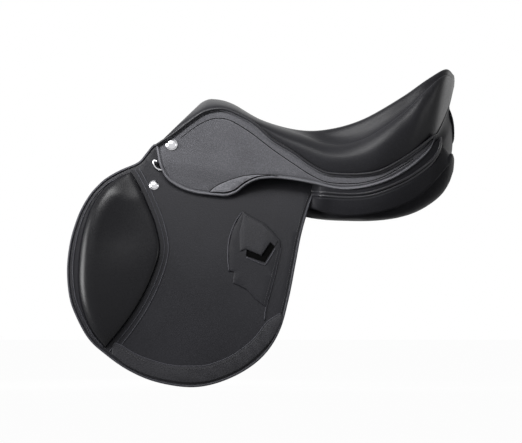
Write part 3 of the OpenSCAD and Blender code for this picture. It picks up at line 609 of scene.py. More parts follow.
def cut_sheet(outline, rim, cell):
    """A pattern cut flat, y is the lift of its face: rim gives depth inside, drop along the edge, and the
    wear attribute, pale for wear with a painted highlight and dark for edge ink.
    """
    bm = bmesh.new()
    wear = bm.verts.layers.float.new("wear")
    depth = bm.verts.layers.float.new("depth")
    most = rim[-1][0]
    last = []
    for inset, drop, mark_and_painted_highlight in rim:
        verts = []
        for p in inward(outline, inset, most):
            v = bm.verts.new((p.x, -drop, p.y))
            v[wear] = mark_and_painted_highlight
            v[depth] = inset
            verts.append(v)
        edges = [bm.edges.new((verts[i - 1], verts[i])) for i in range(len(verts))]
        if last:
            bmesh.ops.bridge_loops(bm, edges=last + edges)
        last = edges
    bmesh.ops.edgeloop_fill(bm, edges=last)
    for way in (Vector((math.cos(tilt), 0, -math.sin(tilt))), Vector((math.sin(tilt), 0, math.cos(tilt)))):
        spots = [v.co.dot(way) for v in bm.verts]
        for k in range(1, int((max(spots) - min(spots)) / cell)):
            slice_at(bm, way * (min(spots) + k * cell), way)
    return bm


def cut_line(bm, p, q):
    """Cut the flat pattern along the line through two places of the side view."""
    run = Vector((q[0] - p[0], 0, q[1] - p[1]))
    slice_at(bm, (p[0], 0, p[1]), run.cross(Vector((0, 1, 0))))


def drop_faces(bm, away):
    """Cut away the faces whose middle passes a test."""
    gone = [f for f in bm.faces if away(f.calc_center_median())]
    bmesh.ops.delete(bm, geom=gone, context="FACES")


back_round = 0.001
back_round_share = 0.3
outer_edge = 0.0001


def thicken(bm, thick):
    """Give the flat pattern its back face, with the back's edge a little rounded."""
    depth = bm.verts.layers.float["depth"]
    face_side = set(bm.faces)
    back = bmesh.ops.extrude_face_region(bm, geom=bm.faces[:])
    back_side = {f for f in back["geom"] if isinstance(f, bmesh.types.BMFace)}
    for v in back["geom"]:
        if isinstance(v, bmesh.types.BMVert):
            v.co.y = -thick + back_round_share * thick * max(0, 1 - v[depth] / back_round) ** 2
    for f in bm.faces:
        if f not in face_side and f not in back_side:
            for e in f.edges:
                e.smooth = max(v[depth] for v in f.verts) < outer_edge


def drape(bm, place):
    """Lay the flat pattern on the side."""
    for v in bm.verts:
        v.co = place(Vector((v.co.x, v.co.z)), v.co.y)
    bmesh.ops.recalc_face_normals(bm, faces=bm.faces)


stitch = (0.0012, 0.00042, 0.00042, 1)


def stitches(path):
    """A row of stitches, one at each point of a path."""
    bm = bmesh.new()
    for k, p in enumerate(path):
        run = (path[min(k + 1, len(path) - 1)] - path[max(k - 1, 0)]).normalized()
        spin = run.to_track_quat("X", "Z").to_matrix().to_4x4()
        bmesh.ops.create_uvsphere(bm, u_segments=6, v_segments=4, radius=1, matrix=(
            Matrix.Translation(p) @ spin @ Matrix.Diagonal(stitch)))
    return bm


def at_fold(side, w):
    """The place over the fold's middle at a height w, for the bend of a sheet that crosses the fold."""
    p = fold_mid + Vector((math.sin(tilt), math.cos(tilt))) * w
    return Vector((p.x, -fold_out if side == "left" else fold_out, p.y))


flap_edge = [
    (161, 146), (154, 144), (146, 153), (138, 162), (120, 170), (106, 178), (97, 186), (90, 194), (82, 207),
    (76, 221), (70, 242), (67, 268), (69, 295), (75, 314), (88, 338), (105, 354), (128, 370), (155, 381.5),
    (188, 387), (215, 383.5), (243, 371.5), (265, 354), (280, 330), (289, 298), (296, 262), (301, 236),
    (307, 214), (313, 197), (318, 188), (319, 183)]
flap_top = [(312, 176.5), (237, 162.5), (166, 149.5)]
flap_out = -0.010
flap_t = 0.0035
flap_cell = 0.009
flap_seam_in = 0.0070
flap_seam_ends = (8, 3)
seam_step = 0.0036
flap_run = side_line(flap_edge)
flap_outline = flap_run + side_line(flap_top)
# The third column makes the bound bead pale at its crest: wear, and a painted highlight on the edge.
bound_rim = (
    (0, 0.0015, 0), (0.0003, 0.0004, 0.1), (0.0009, -0.0005, 0.5), (0.0018, -0.0010, 0.7),
    (0.0027, -0.0007, 0.3), (0.0034, 0.0005, 0), (0.0041, 0.0010, 0), (0.0050, 0.0004, 0), (0.0062, 0, 0))
flap = cut_sheet(flap_outline, bound_rim, flap_cell)


def fold_point(u, w):
    """The place of the side view at u along the fold and w over it."""
    rise = w * math.cos(tilt) - u * math.sin(tilt)
    return fold_mid + Vector((u * math.cos(tilt) + w * math.sin(tilt), rise))


notch_u = (-0.062, -0.044)
notch_w = 0.006
for u in notch_u:
    cut_line(flap, fold_point(u, -0.05), fold_point(u, 0.05))
for w in (-notch_w, notch_w):
    cut_line(flap, fold_point(-0.1, w), fold_point(0.1, w))


def in_notch(c):
    u, w = fold_place(c.x, c.z, 0)
    return notch_u[0] < u < notch_u[1] and abs(w) < notch_w


drop_faces(flap, in_notch)
thicken(flap, flap_t)
drape(flap, lambda p, y: on_side(p, flap_out + y))
for side, made in pair("flap_leather", flap, flap_leather).items():
    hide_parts(side + "_flap", side + "_flap_top")
    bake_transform(made, "saddle", side + "_flap_body", start=at_fold(side, 0.007), end=at_fold(side, -0.005))
flap_ring = inward(flap_outline, flap_seam_in, flap_seam_in)
flap_inner = flap_ring[flap_seam_ends[0]:len(flap_run) - flap_seam_ends[1]]
flap_seam = trace([on_side(p, flap_out + hair) for p in flap_inner], seam_step)
fit_pair("flap_stitching", stitches(flap_seam), thread, "{}_flap_body")


# Knee pads: a leather case over shaped foam, sewn to the outside of the flap. The front edge is rolled and
# the middle is slightly hollow. Two ridges of the flap run along the seam behind it, and one in front.
pad_rear = [
    (131, 172), (140, 187), (148, 204.5), (156, 225), (160, 250), (152.5, 276), (140, 302), (124, 326),
    (106, 348)]
pad_front = [
    (106, 348), (92, 331), (82, 308), (78, 283), (79, 255), (83, 230), (91, 207), (103, 189), (117, 178),
    (131, 172)]
seam_behind = [
    (135, 169), (144, 185), (152, 203), (160, 224), (164.5, 250), (157, 278), (144.5, 304.5), (128, 329),
    (110, 351)]
far_behind = [
    (139, 168), (148, 184), (156, 202), (164, 223), (168.5, 250), (161, 279.5), (148, 307), (131.5, 332),
    (115, 353)]
front_line = [
    (126, 174.5), (111, 181.5), (99, 191), (90, 203), (83, 217.5), (77, 237), (73, 265), (74.5, 291),
    (80, 310), (92, 333), (104, 347.5)]
pad_front_height = 0.0172
pad_rear_fall = 0.0100
pad_front_round = 0.025
pad_rear_round = 0.0050
pad_top_taper = 0.045
hollow = view((117, 236))
hollow_depth = 0.0034
hollow_reach = 0.040
hollow_margin = 0.03
pad_cell = 0.0035
ridge_radius = 0.0009
# Pale crest on the flap's ridges and the keeper's rolls: wear, and a painted highlight.
ridge_wear_and_highlight = 0.5
rear_run = side_line(pad_rear, fine_step)
front_run = side_line(pad_front, fine_step)


def away_from(p, run):
    """Distance from a place to a line of points."""
    best = 1.0
    for a, b in zip(run, run[1:]):
        t = min(max((p - a).dot(b - a) / (b - a).length_squared, 0), 1)
        best = min(best, (p - a.lerp(b, t)).length)
    return best


def rounded(t):
    """A quarter round from 0 to 1."""
    return math.sqrt(max(0, 1 - (1 - min(t, 1)) ** 2))


def pad_height(p):
    """Height of the pad over the flap: a rolled front, a thin top and rear, and a hollow in the middle."""
    ahead = away_from(p, front_run)
    behind = away_from(p, rear_run)
    lean = pad_front_height - pad_rear_fall * ahead / max(ahead + behind, 1e-6)
    lean *= 0.4 + 0.6 * ease((p - rear_run[0]).length / pad_top_taper)
    dent = hollow_depth * math.exp(-((p - hollow).length / hollow_reach) ** 2)
    roll = lean * rounded(ahead / pad_front_round) * rounded(behind / pad_rear_round)
    return roll - dent * ease(ahead / hollow_margin) * ease(behind / hollow_margin)


def lay_on_flap(bm, thick, lift):
    """Give a flat pattern its thickness and lay it on the flap, with its face at a lift."""
    thicken(bm, thick)
    drape(bm, lambda p, y: on_side(p, flap_out + lift + y))


def flap_line(points, lift, step=path_step):
    """A smooth curve on the flap's face, through pixels of the side view."""
    return trace([on_side(view(p), flap_out + lift) for p in points], step)


pad_leather = leather("pad_leather", (0.002, 0.002, 0.003), (0.006, 0.006, 0.007), 0.30, 700, 0.00003, 0.15)
pad_rim = tuple((d, 0, 0) for d in (0, 0.0001, 0.0004, 0.0009, 0.0016, 0.0026))
knee_pad = cut_sheet(front_run[:-1] + rear_run[:-1], pad_rim, pad_cell)
for v in knee_pad.verts:
    v.co.y = pad_height(Vector((v.co.x, v.co.z)))
lay_on_flap(knee_pad, hair, hair)
for side, made in pair("knee_pad_leather", knee_pad, pad_leather).items():
    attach(made, side + "_flap_body")
    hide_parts(side + "_knee_pad")
ridge_rows = [flap_line(points, hair) for points in (seam_behind, far_behind, front_line)]
ridges = piping(ridge_rows, ridge_radius, ridge_wear_and_highlight)
fit_pair("flap_ridges", ridges, flap_leather, "{}_flap_body")


# Wear bands: grained leather along the foot of each flap, where a boot and the ground rub it. The band is
# pared thin and sewn on along its upper edge, which stands up as a low ridge.
band_grain = leather(
    "band_grained_leather", (0.008, 0.008, 0.009), (0.042, 0.042, 0.047), 0.54, 560, 0.00035, 0.10)
wear_top = [
    (113, 343), (121, 345), (136, 354), (156, 361.5), (175, 365.5), (191, 366), (207, 365), (227, 358),
    (243, 348), (256, 336), (267, 322), (281, 313)]
wear_foot = [
    (283, 318), (275, 335), (261, 352), (241, 368), (214, 379.5), (188, 382.5), (156, 377.5), (130, 367),
    (112, 354)]
wear_t = 0.0012
wear_lift = 0.0014
wear_edge_lift = 0.0008
# Pale crest on the band's upper ridge: wear, and a painted highlight.
band_edge_wear_and_highlight = 0.6
wear_seam_lift = 0.0015
wear_seam_drop = Vector((0, 0.0045))
thin_cell = 0.012
thin_rim = ((0, 0.0010, 0), (0.0002, 0.0006, 0), (0.0006, 0.0002, 0), (0.0012, 0, 0))
wear_band = cut_sheet(side_line(wear_top) + side_line(wear_foot), thin_rim, thin_cell)
lay_on_flap(wear_band, wear_t, wear_lift)
fit_pair("wear_band_leather", wear_band, band_grain, "{}_flap_body", "{}_wear_band")
wear_edge = piping([flap_line(wear_top, wear_edge_lift)], ridge_radius, band_edge_wear_and_highlight)
fit_pair("wear_band_edge", wear_edge, flap_leather, "{}_flap_body")
below_edge = [on_side(view(p) - wear_seam_drop, flap_out + wear_seam_lift) for p in wear_top[1:-1]]
wear_seam = trace(below_edge, seam_step)
fit_pair("wear_band_stitching", stitches(wear_seam), thread, "{}_flap_body")


# Keepers: a raised leather panel on each flap, with a grained inlay and a slot for the end of the stirrup
# leather. The slot's floor is a near-black matte sheet, painted shade for the dark opening, and a rolled edge
# and a stitched seam frame the panel.
keeper_edge = [
    (243, 211), (251, 216.5), (264, 223), (273, 231.5), (280, 240), (281, 248), (276, 270), (271, 289.5),
    (266, 307), (256, 299.5), (246, 289), (233, 283), (234, 272), (229, 271), (228, 250), (232, 230),
    (241, 214)]
inlay_edge = [
    (243.5, 215), (251, 218), (263, 224.5), (272, 233), (278, 241), (275.5, 246), (270.5, 242), (261.5, 255),
    (246, 249), (240, 251.5), (239.5, 233)]
slot_edge = [(246.5, 249.5), (261.5, 255.5), (270.5, 242.5), (275, 246.5), (265, 262.5), (246, 256)]
front_roll = [(241.5, 213), (236, 221), (232, 230), (229, 240), (228, 250), (228, 260), (229, 271)]
rear_fold = [(281, 248), (276, 270), (271, 289.5), (266, 308), (264.5, 320)]
slot_lip = [(246.5, 257.6), (256, 261.6), (264.5, 264.6), (268.5, 260), (275.5, 248.5)]
top_seam = [(246, 215.5), (262, 225), (271, 234), (277, 242)]
rear_seam = [(278, 250), (273, 271), (268, 290), (264.5, 303)]
keeper_t = 0.0016
keeper_lift = 0.0018
inlay_t = 0.0010
inlay_lift = 0.0029
slot_shade_t = 0.0002
slot_shade_lift = 0.0004
slot_shade_rim = ((0, 0.00005, 0), (0.0002, 0, 0))
slot_shade_cell = 0.02
roll_radius = 0.0010
roll_rows = ((front_roll, 0.0014, fine_step), (rear_fold, 0.0004, fine_step), (slot_lip, 0.0019, 0.002))
top_seam_lift = 0.0019
rear_seam_lift = 0.0020
slot_places = [view(p) for p in slot_edge]
slot_halves = ([slot_places[k] for k in (0, 1, 4, 5)], [slot_places[k] for k in (1, 2, 3, 4)])


def in_shape(c, corners):
    """Whether a place of the flat pattern lies inside a convex shape."""
    sides = []
    for a, b in zip(corners, corners[1:] + corners[:1]):
        sides.append((b.x - a.x) * (c.z - a.y) - (b.y - a.y) * (c.x - a.x))
    return all(s > 0 for s in sides) or all(s < 0 for s in sides)


def sharp(points):
    """An outline whose corners stay sharp."""
    run = []
    for p, q in zip(points, points[1:] + points[:1]):
        count = max(1, round((q - p).length / fine_step))
        run += [p.lerp(q, k / count) for k in range(count)]
    return run


keeper = cut_sheet(sharp([view(p) for p in keeper_edge]), thin_rim, thin_cell)
for half in slot_halves:
    for a, b in zip(half, half[1:] + half[:1]):
        cut_line(keeper, a, b)
drop_faces(keeper, lambda c: in_shape(c, slot_halves[0]) or in_shape(c, slot_halves[1]))
lay_on_flap(keeper, keeper_t, keeper_lift)
inlay = cut_sheet(sharp([view(p) for p in inlay_edge]), thin_rim, thin_cell)
lay_on_flap(inlay, inlay_t, inlay_lift)
# Near-black matte sheet on the slot's floor: painted shade in the slot.
slot_shade_finish = leather("painted_slot_shade", (0.001, 0.001, 0.001), (0.004, 0.004, 0.004), 0.95, 500, 0.0002, 0.02)
lining = cut_sheet(sharp(slot_places), slot_shade_rim, slot_shade_cell)
lay_on_flap(lining, slot_shade_t, slot_shade_lift)
fit_pair("keeper_leather", keeper, flap_leather, "{}_flap_body", "{}_keeper")
fit_pair("keeper_inlay", inlay, band_grain, "{}_flap_body")
fit_pair("keeper_slot_shade", lining, slot_shade_finish, "{}_flap_body")
rolls = piping([flap_line(*row) for row in roll_rows], roll_radius, ridge_wear_and_highlight)
fit_pair("keeper_rolls", rolls, flap_leather, "{}_flap_body")
keeper_seam = flap_line(top_seam, top_seam_lift, fine_step)
keeper_seam += flap_line(rear_seam, rear_seam_lift, fine_step)
fit_pair("keeper_stitching", stitches(keeper_seam), thread, "{}_flap_body")


# Skirts: grained leather over the stirrup bars, one sheet from the seat seam to a bound lower edge. The
# band is fixed, the fold bends with the flap, and the lobe lifts to show the bar.
grained_leather = leather(
    "grained_leather", (0.024, 0.024, 0.027), (0.136, 0.136, 0.148), 0.58, 560, 0.00045, 0.06)
pale_grain = leather(
    "pale_grained_leather", (0.050, 0.050, 0.055), (0.260, 0.260, 0.282), 0.58, 560, 0.00045, 0.06)
seam_line = [
    (156, 146), (174, 134), (187, 124), (202, 113.5), (214, 110), (225, 110), (238, 115), (254, 124),
    (272, 140), (293, 153), (309, 164.5), (325, 173), (342, 175), (360, 175), (379, 172), (399, 162),
    (417, 150), (436, 135)]
skirt_edge = [
    (436.5, 137), (435, 140), (428, 153), (411, 168), (391, 180), (370, 187), (350, 190), (334, 189),
    (317, 185), (297, 181), (281, 179), (270, 178.5), (258, 180), (247, 185), (238, 192), (233, 194.5),
    (225, 196.5), (207, 195), (194, 193), (180, 188), (167, 179), (160, 166), (156.5, 150)]
patch_top = [
    (208.5, 192), (214, 187), (221, 183), (231, 179), (241, 176), (251, 174.5), (261, 174), (270, 174.5),
    (279, 176)]
patch_foot = [(268, 175.8), (257, 177.2), (246, 181.8), (237, 188.6), (232, 191.2), (224.5, 193)]
crease_line = [
    (181, 138), (187, 133), (196, 126.5), (205, 121.5), (215, 118.5), (226, 119), (238, 124.5), (254, 135),
    (272, 149), (293, 163.5), (309, 174), (325, 181.5), (342, 183.5), (360, 183), (379, 178.5), (397, 169.5),
    (413, 159)]
# The third column makes the bound bead a little pale at its crest: wear, and a painted highlight.
skirt_rim = (
    (0, 0.0018, 0), (0.0003, 0.0006, 0), (0.0010, -0.0005, 0.1), (0.0021, -0.0011, 0.2),
    (0.0032, -0.0007, 0.1), (0.0041, 0.0006, 0), (0.0049, 0.0012, 0), (0.0058, 0.0005, 0), (0.0070, 0, 0))
patch_rim = ((0, 0.0010, -1), (0.0002, 0.0006, -1), (0.0010, 0.0002, -1), (0.0014, 0, 0))
skirt_t = 0.0035
patch_t = 0.0008
patch_lift = skirt_t + 0.0009
skirt_cell = 0.008
crease_depth = 0.0003
# Pale crest on the crease ridge: wear, and a painted highlight.
crease_wear_and_highlight = 0.1
groove_radius = 0.0007
groove_depth = 0.0002
# Near black on the sunk cord along the crease: painted shade in the crease.
groove_painted_shade = -1.0
crease_step = 0.0034
skirt_in = 0.0075
bend_w = 0.010
flap_gap = 0.0096
lay_down = 0.045
lobe_w = -0.002
band_w = 0.015
band_rear = (view((273.5, 168)), view((293, 181.5)))
tuck_up = Vector((0, 0.0015))
press_down = Vector((0, 0, -0.0016))


def skirt_course(w):
    """Inner face of the skirt: leaning in over the fold, clear of the bar at it, then down on the flap."""
    if w > bend_w:
        return skirt_in - lean_in * w
    if w > -bend_w:
        return skirt_in - lean_in * (w + bend_w) ** 2 / (4 * bend_w)
    rest = hang(w) - flap_gap
    share = min((w + bend_w) / -lay_down, 1) ** 1.2
    return skirt_in * (1 - share) + rest * share


def part_of_skirt(c):
    """The part that a place of the flat pattern belongs to."""
    w = fold_place(c.x, c.z, 0.0)[1]
    run = band_rear[1] - band_rear[0]
    behind = run.x * (c.z - band_rear[0].y) - run.y * (c.x - band_rear[0].x)
    if w < lobe_w:
        return "lobe"
    return "fold" if w < band_w and behind < 0 else "band"


def skirt_parts(sheet, thick, lift, name, finish):
    """Split a flat sheet at the fold into parts that meet flush, and lay each of them on the side."""
    cut_line(sheet, fold_point(-0.2, lobe_w), fold_point(0.2, lobe_w))
    cut_line(sheet, fold_point(-0.2, band_w), fold_point(0.2, band_w))
    cut_line(sheet, *band_rear)
    made = {}
    for part in ("band", "fold", "lobe"):
        bm = sheet.copy()
        drop_faces(bm, lambda c: part_of_skirt(c) != part)
        if not bm.faces:
            bm.free()
            continue
        thicken(bm, thick)
        drape(bm, lambda p, y: on_skirt(p, lift + y, skirt_course))
        made[part] = pair(f"{name}_{part}", bm, finish)
    sheet.free()
    for side in ("left", "right"):
        flap_body = side + "_flap_body"
        if "band" in made:
            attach(made["band"][side], "saddle")
        if "fold" in made:
            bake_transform(made["fold"][side], "saddle", flap_body, start=at_fold(side, 0.010),
                     end=at_fold(side, -0.002))
        if "lobe" in made:
            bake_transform(made["lobe"][side], flap_body, side + "_skirt_body", start=at_fold(side, -0.002),
                     end=at_fold(side, -0.012))
    return made


def skirt_line(points, lift):
    """Points on the skirt over its inner face, through pixels of the side view."""
    return [on_skirt(view(p), lift, skirt_course) for p in points]


seam_run = side_line(seam_line)
skirt_outline = [p + tuck_up for p in seam_run] + side_line(skirt_edge)
skirt_sheet = cut_sheet(skirt_outline, skirt_rim, skirt_cell)
skirt = skirt_parts(skirt_sheet, skirt_t, skirt_t, "skirt_leather", grained_leather)
patch_outline = side_line(patch_top, fine_step) + side_line(patch_foot, fine_step)
patch_sheet = cut_sheet(patch_outline, patch_rim, skirt_cell)
patch = skirt_parts(patch_sheet, patch_t, patch_lift, "patch_leather", pale_grain)
for side in ("left", "right"):
    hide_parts(side + "_skirt_band")
    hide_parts(side + "_skirt")
    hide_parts(side + "_skirt_patch")
pressed = trace([p + press_down for p in skirt_line(crease_line, skirt_t - crease_depth)], path_step)
crease = piping([pressed], ridge_radius, crease_wear_and_highlight)
fit_pair("skirt_crease", crease, grained_leather, "saddle")
# A near-black cord half sunk along the crease line, painted shade in the crease.
sunk = trace(skirt_line(crease_line, skirt_t - groove_depth), path_step)
groove = piping([sunk], groove_radius, groove_painted_shade)
fit_pair("skirt_crease_shade", groove, grained_leather, "saddle")
crease_seam = trace(skirt_line(crease_line, skirt_t + hair), crease_step)
fit_pair("skirt_stitching", stitches(crease_seam), thread, "saddle")


# Nailheads, flap studs and front dees: bright plated brass. The heads are turned domes with a plain rim on
# a leather washer, and each dee is bent from round wire and hangs in a chape under the skirt.
chrome = metal("bright_plate", (0.66, 0.66, 0.68), 0.06, (400, 400, 400), 0.00001)
nail_size = (0.0076, 0.0038)
nail_at = view((171.6, 144.5))
stud_size = (0.0064, 0.0030)
stud_at = view((154, 185))
washer_t = 0.0012
nudge = 0.002


def domed_head(radius, height):
    """A turned dome on a plain rim, standing on the origin."""
    bm = bmesh.new()
    rise = [bm.verts.new((radius * math.cos(a), 0, height * math.sin(a))) for a in (
        math.radians(k) for k in range(90, -1, -9))]
    rise += [bm.verts.new(p) for p in ((radius * 1.12, 0, height * 0.04), (radius * 1.16, 0, -height * 0.10),
                                       (radius * 1.12, 0, -height * 0.25), (0, 0, -height * 0.25))]
    edges = [bm.edges.new((a, b)) for a, b in zip(rise, rise[1:])]
    bmesh.ops.spin(bm, geom=rise + edges, cent=(0, 0, 0), axis=(0, 0, 1), angle=math.tau, steps=48,
                   use_merge=True)
    bmesh.ops.remove_doubles(bm, verts=bm.verts, dist=1e-6)
    bmesh.ops.recalc_face_normals(bm, faces=bm.faces)
    return bm


def seated(bm, place, p):
    """Stand a turned piece on the leather at a place of the side view."""
    here = place(p)
    across = place(p + Vector((nudge, 0))) - here
    down = place(p - Vector((0, nudge))) - here
    face = across.cross(down).normalized()
    if face.y > 0:
        face = -face
    turn = face.to_track_quat("Z", "Y").to_matrix().to_4x4()
    bmesh.ops.transform(bm, matrix=Matrix.Translation(here) @ turn, verts=bm.verts)
    return bm


def on_lobe(p):
    return on_skirt(p, skirt_t + washer_t, skirt_course)


def on_flap(p):
    return on_side(p, flap_out + washer_t)


nail = seated(domed_head(*nail_size), on_lobe, nail_at)
fit_pair("nailhead", nail, chrome, "saddle", "nailheads")
stud = seated(domed_head(*stud_size), on_flap, stud_at)
fit_pair("stud", stud, chrome, "{}_flap_body", "{}_flap_stud")
finish_nodes(chrome, "left_dee", "right_dee")


# Seat: soft leather drawn over a foam core that is shaped on the tree. The seat is dished, the cantle is
# rimmed, and a roll runs along each side down to the piped seam. Each table is read from front to rear.
seat_seam = [
    (156, 146), (174, 134), (202, 113.5), (225, 110), (254, 124), (293, 153), (325, 173), (360, 175),
    (399, 162), (419, 149), (436, 135), (448, 110), (455, 86)]
seat_line = [
    (197, 106), (203, 101), (213, 98.5), (232, 103), (262, 119), (298, 128.5), (330, 128), (364, 118),
    (402, 96), (428, 77.5), (446, 67.5), (454, 74), (455.5, 80)]
dish = (0, 0, 0, 0, 0.03, 0.1, 0.25, 0.5, 0.8, 0.85, 0.3, 0, 0)
flatness = (1, 1, 1, 1, 1.3, 1.9, 2.6, 3.2, 3.6, 3.4, 2.8, 2.1, 1.7)
closing = (1, 1, 1, 1, 1, 1, 1, 1, 1, 0.99, 0.9, 0.6, 0.06)
arch = (0.1, 0.075, 0.005, -0.025, -0.03, 0.02, 0.05, 0.065, 0.065, 0.06, 0.01, 0, 0)
roll_share = (0, 0, 0, 0, 0, 0.25, 0.75, 1, 1, 0.95, 0.8, 0.4, 0)
roll_crest = (0.4, 0.4, 0.4, 0.4, 0.4, 0.4, 0.44, 0.51, 0.61, 0.71, 0.76, 0.7, 0.6)
dish_depth = 0.042
dish_edge = 0.83
dish_edge_in = 0.17
crown_fullness = 0.75
under_back_from = 0.66
under_back_over = 0.16
seat_lift = 0.011
seat_grid = 128
seat_welt_radius = 0.0020
seat_welt_lift = 0.0059
seat_welt_up = Vector((0, 0.0012))


def along(table, share):
    """A table of the seat, front to rear, read at a share of its length."""
    n = len(table) - 1
    f = min(max(share, 0), 1) * n
    i = min(int(f), n - 1)
    ends = [table[min(max(k, 0), n)] for k in (i - 1, i, i + 1, i + 2)]
    return spline(*(Vector(q) if isinstance(q, tuple) else q for q in ends), f - i)


def seat_half(share):
    """Half the width of the seat at its seam."""
    p = view(along(seat_seam, share))
    return -on_skirt(p, seat_lift).y * along(closing, share)


def roll_section(a, crest):
    """Half section of the seat with its roll: share of the half width, and share of the height."""
    marks = ((0, 1.0), (0.15, 1.0), (0.30, 1.0), (0.45, 1.0), (0.58, 0.995), (0.68, 0.96),
             (0.75, crest * 0.4 + 0.55), (0.81, crest * 0.75 + 0.25), (0.865, crest + 0.11),
             (0.92, crest + 0.045), (0.965, crest * 0.90), (0.995, crest * 0.70), (1.010, crest * 0.45),
             (1.010, crest * 0.20), (0.998, 0))
    return along(marks, a)


def seat_top(share, t):
    """A point of the upper face, at a share of the length and a share of the half width."""
    a = abs(t)
    seam = view(along(seat_seam, share))
    top = view(along(seat_line, share))
    rise = top.y - seam.y
    crown = math.cos(math.pi / 2 * min(a, 1) ** along(flatness, share))
    crown = max(crown, 0) ** crown_fullness
    wide = math.sin(math.pi / 2 * a)
    roll = along(roll_share, share)
    mark = roll_section(a, along(roll_crest, share))
    wide = wide * (1 - roll) + mark.x * roll
    crown = crown * (1 - roll) + mark.y * roll
    rim = dish_edge - dish_edge_in * roll
    dip = (1 - (wide / rim) ** 2) ** 2 if wide < rim else 0
    x = top.x + (seam.x - top.x) * (1 - crown)
    return Vector((x, math.copysign(seat_half(share) * wide, t),
                   seam.y + rise * crown - dish_depth * along(dish, share) * dip))


def seat_under(share, t):
    """A point of the under face, which is arched over the tree."""
    seam = view(along(seat_seam, share))
    back = min(max((share - under_back_from) / under_back_over, 0), 1)
    x = seat_top(share, t).x * (1 - back) + seam.x * back
    y = math.copysign(seat_half(share) * math.sin(math.pi / 2 * abs(t)), t)
    return Vector((x, y, seam.y + seat_length * along(arch, share) * math.cos(math.pi / 2 * t)))


seat_case = bmesh.new()
bmesh.ops.create_grid(seat_case, x_segments=seat_grid, y_segments=seat_grid, size=1)
under = bmesh.ops.extrude_face_region(seat_case, geom=seat_case.faces[:])
lower = {v for v in under["geom"] if isinstance(v, bmesh.types.BMVert)}
for v in seat_case.verts:
    shape = seat_under if v in lower else seat_top
    v.co = shape((v.co.x + 1) / 2, v.co.y)
bmesh.ops.remove_doubles(seat_case, verts=seat_case.verts, dist=same_point)
bmesh.ops.recalc_face_normals(seat_case, faces=seat_case.faces)
calf = leather("seat_calf", (0.004, 0.004, 0.005), (0.020, 0.020, 0.023), 0.38, 500, 0.00002, 0.12)
seat = piece("seat_leather", seat_case, calf)
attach(seat, "saddle")
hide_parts("seat_cover", "seat_foam")
seat_welt = [on_skirt(p + seat_welt_up, seat_welt_lift, skirt_course) for p in seam_run]
seat_piping = piping([seat_welt], seat_welt_radius)
fit_pair("seat_piping", seat_piping, piping_leather, "saddle", "seat_welt")


# Cantle back: one piece of leather that closes the back below the rim of the cantle, down to the panels.
# It is sewn to the seat under a thin piping, hollow below the rim and swelling over the panels.
back_share = 0.21
back_foot = (438, 160)
back_foot_round = (14, 6)
back_foot_half = 0.092
back_hollow = 3.5 * pixel
back_swell = 1.2 * pixel
back_flare = 0.004
back_inset = 0.0006
rim_start = 0.80
rim_steps = 32
rim_radius = 0.0013
rim_ahead = (0.0002, 0.0016)
rim_out = 0.0004
rim_drop = 0.0010
back = bmesh.new()
bmesh.ops.create_grid(back, x_segments=64, y_segments=20, size=1)
for v in back.verts:
    q = v.co.x
    k = (v.co.y + 1) / 2
    share = 1 - back_share * abs(q)
    seam = view(along(seat_seam, share))
    turn = math.pi / 2 * q
    foot_x = back_foot[0] + back_foot_round[0] * math.cos(turn)
    foot = view((foot_x, back_foot[1] - back_foot_round[1] * abs(q)))
    bend = -math.sin(math.tau * k) * (back_hollow if k < 0.5 else back_swell) * math.cos(turn)
    wide = seat_half(share) * (1 - k) + back_foot_half * abs(math.sin(turn)) * k + back_flare * abs(q) ** 3
    rear = seam.x * (1 - k) + foot.x * k + bend - back_inset
    v.co = Vector((rear, math.copysign(wide, q), seam.y * (1 - k) + foot.y * k))
stiffen(back, leather_t)
cantle_back = piece("cantle_back", back, smooth_leather)
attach(cantle_back, "saddle")
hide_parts("cantle_facing")
rim_line = []
for k in range(rim_steps + 1):
    share = rim_start + (1 - rim_start) * k / rim_steps
    seam = view(along(seat_seam, share))
    ahead = rim_ahead[0] + rim_ahead[1] * (k / rim_steps) ** 2
    rim_line.append(Vector((seam.x - ahead, -seat_half(share) - rim_out, seam.y - rim_drop)))
rim_line.append(Vector((rim_line[-1].x, 0, rim_line[-1].z)))
rim_piping = piping([rim_line], rim_radius)
fit_pair("cantle_piping", rim_piping, piping_leather, "saddle")


# Rear loop: a short leather strap behind the cantle, for a crupper or a saddle cloth. Both of its ends are
# sewn in under the cantle back, and its face is a little bowed.
loop_line = [
    (449.7, 107.4), (450.5, 109), (452.2, 113), (454.3, 121), (455.2, 131), (454.4, 141), (450, 147),
    (442, 148.5), (436, 148), (431.4, 147.8)]
loop_half = 0.0088
loop_bow = 0.0010
loop_t = 0.0034
loop_run = side_line(loop_line, 0.002)
loop = bmesh.new()
bmesh.ops.create_grid(loop, x_segments=len(loop_run) - 1, y_segments=8, size=1)
for v in loop.verts:
    k = round((v.co.x + 1) / 2 * (len(loop_run) - 1))
    p = loop_run[k]
    run = (loop_run[min(k + 1, len(loop_run) - 1)] - loop_run[max(k - 1, 0)]).normalized()
    bow = loop_bow * (1 - abs(v.co.y) ** 4)
    v.co = Vector((p.x + run.y * bow, v.co.y * loop_half, p.y - run.x * bow))
stiffen(loop, loop_t)
cantle_loop = piece("cantle_loop", loop, plain_leather)
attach(cantle_loop, "saddle")
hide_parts("rear_loop")


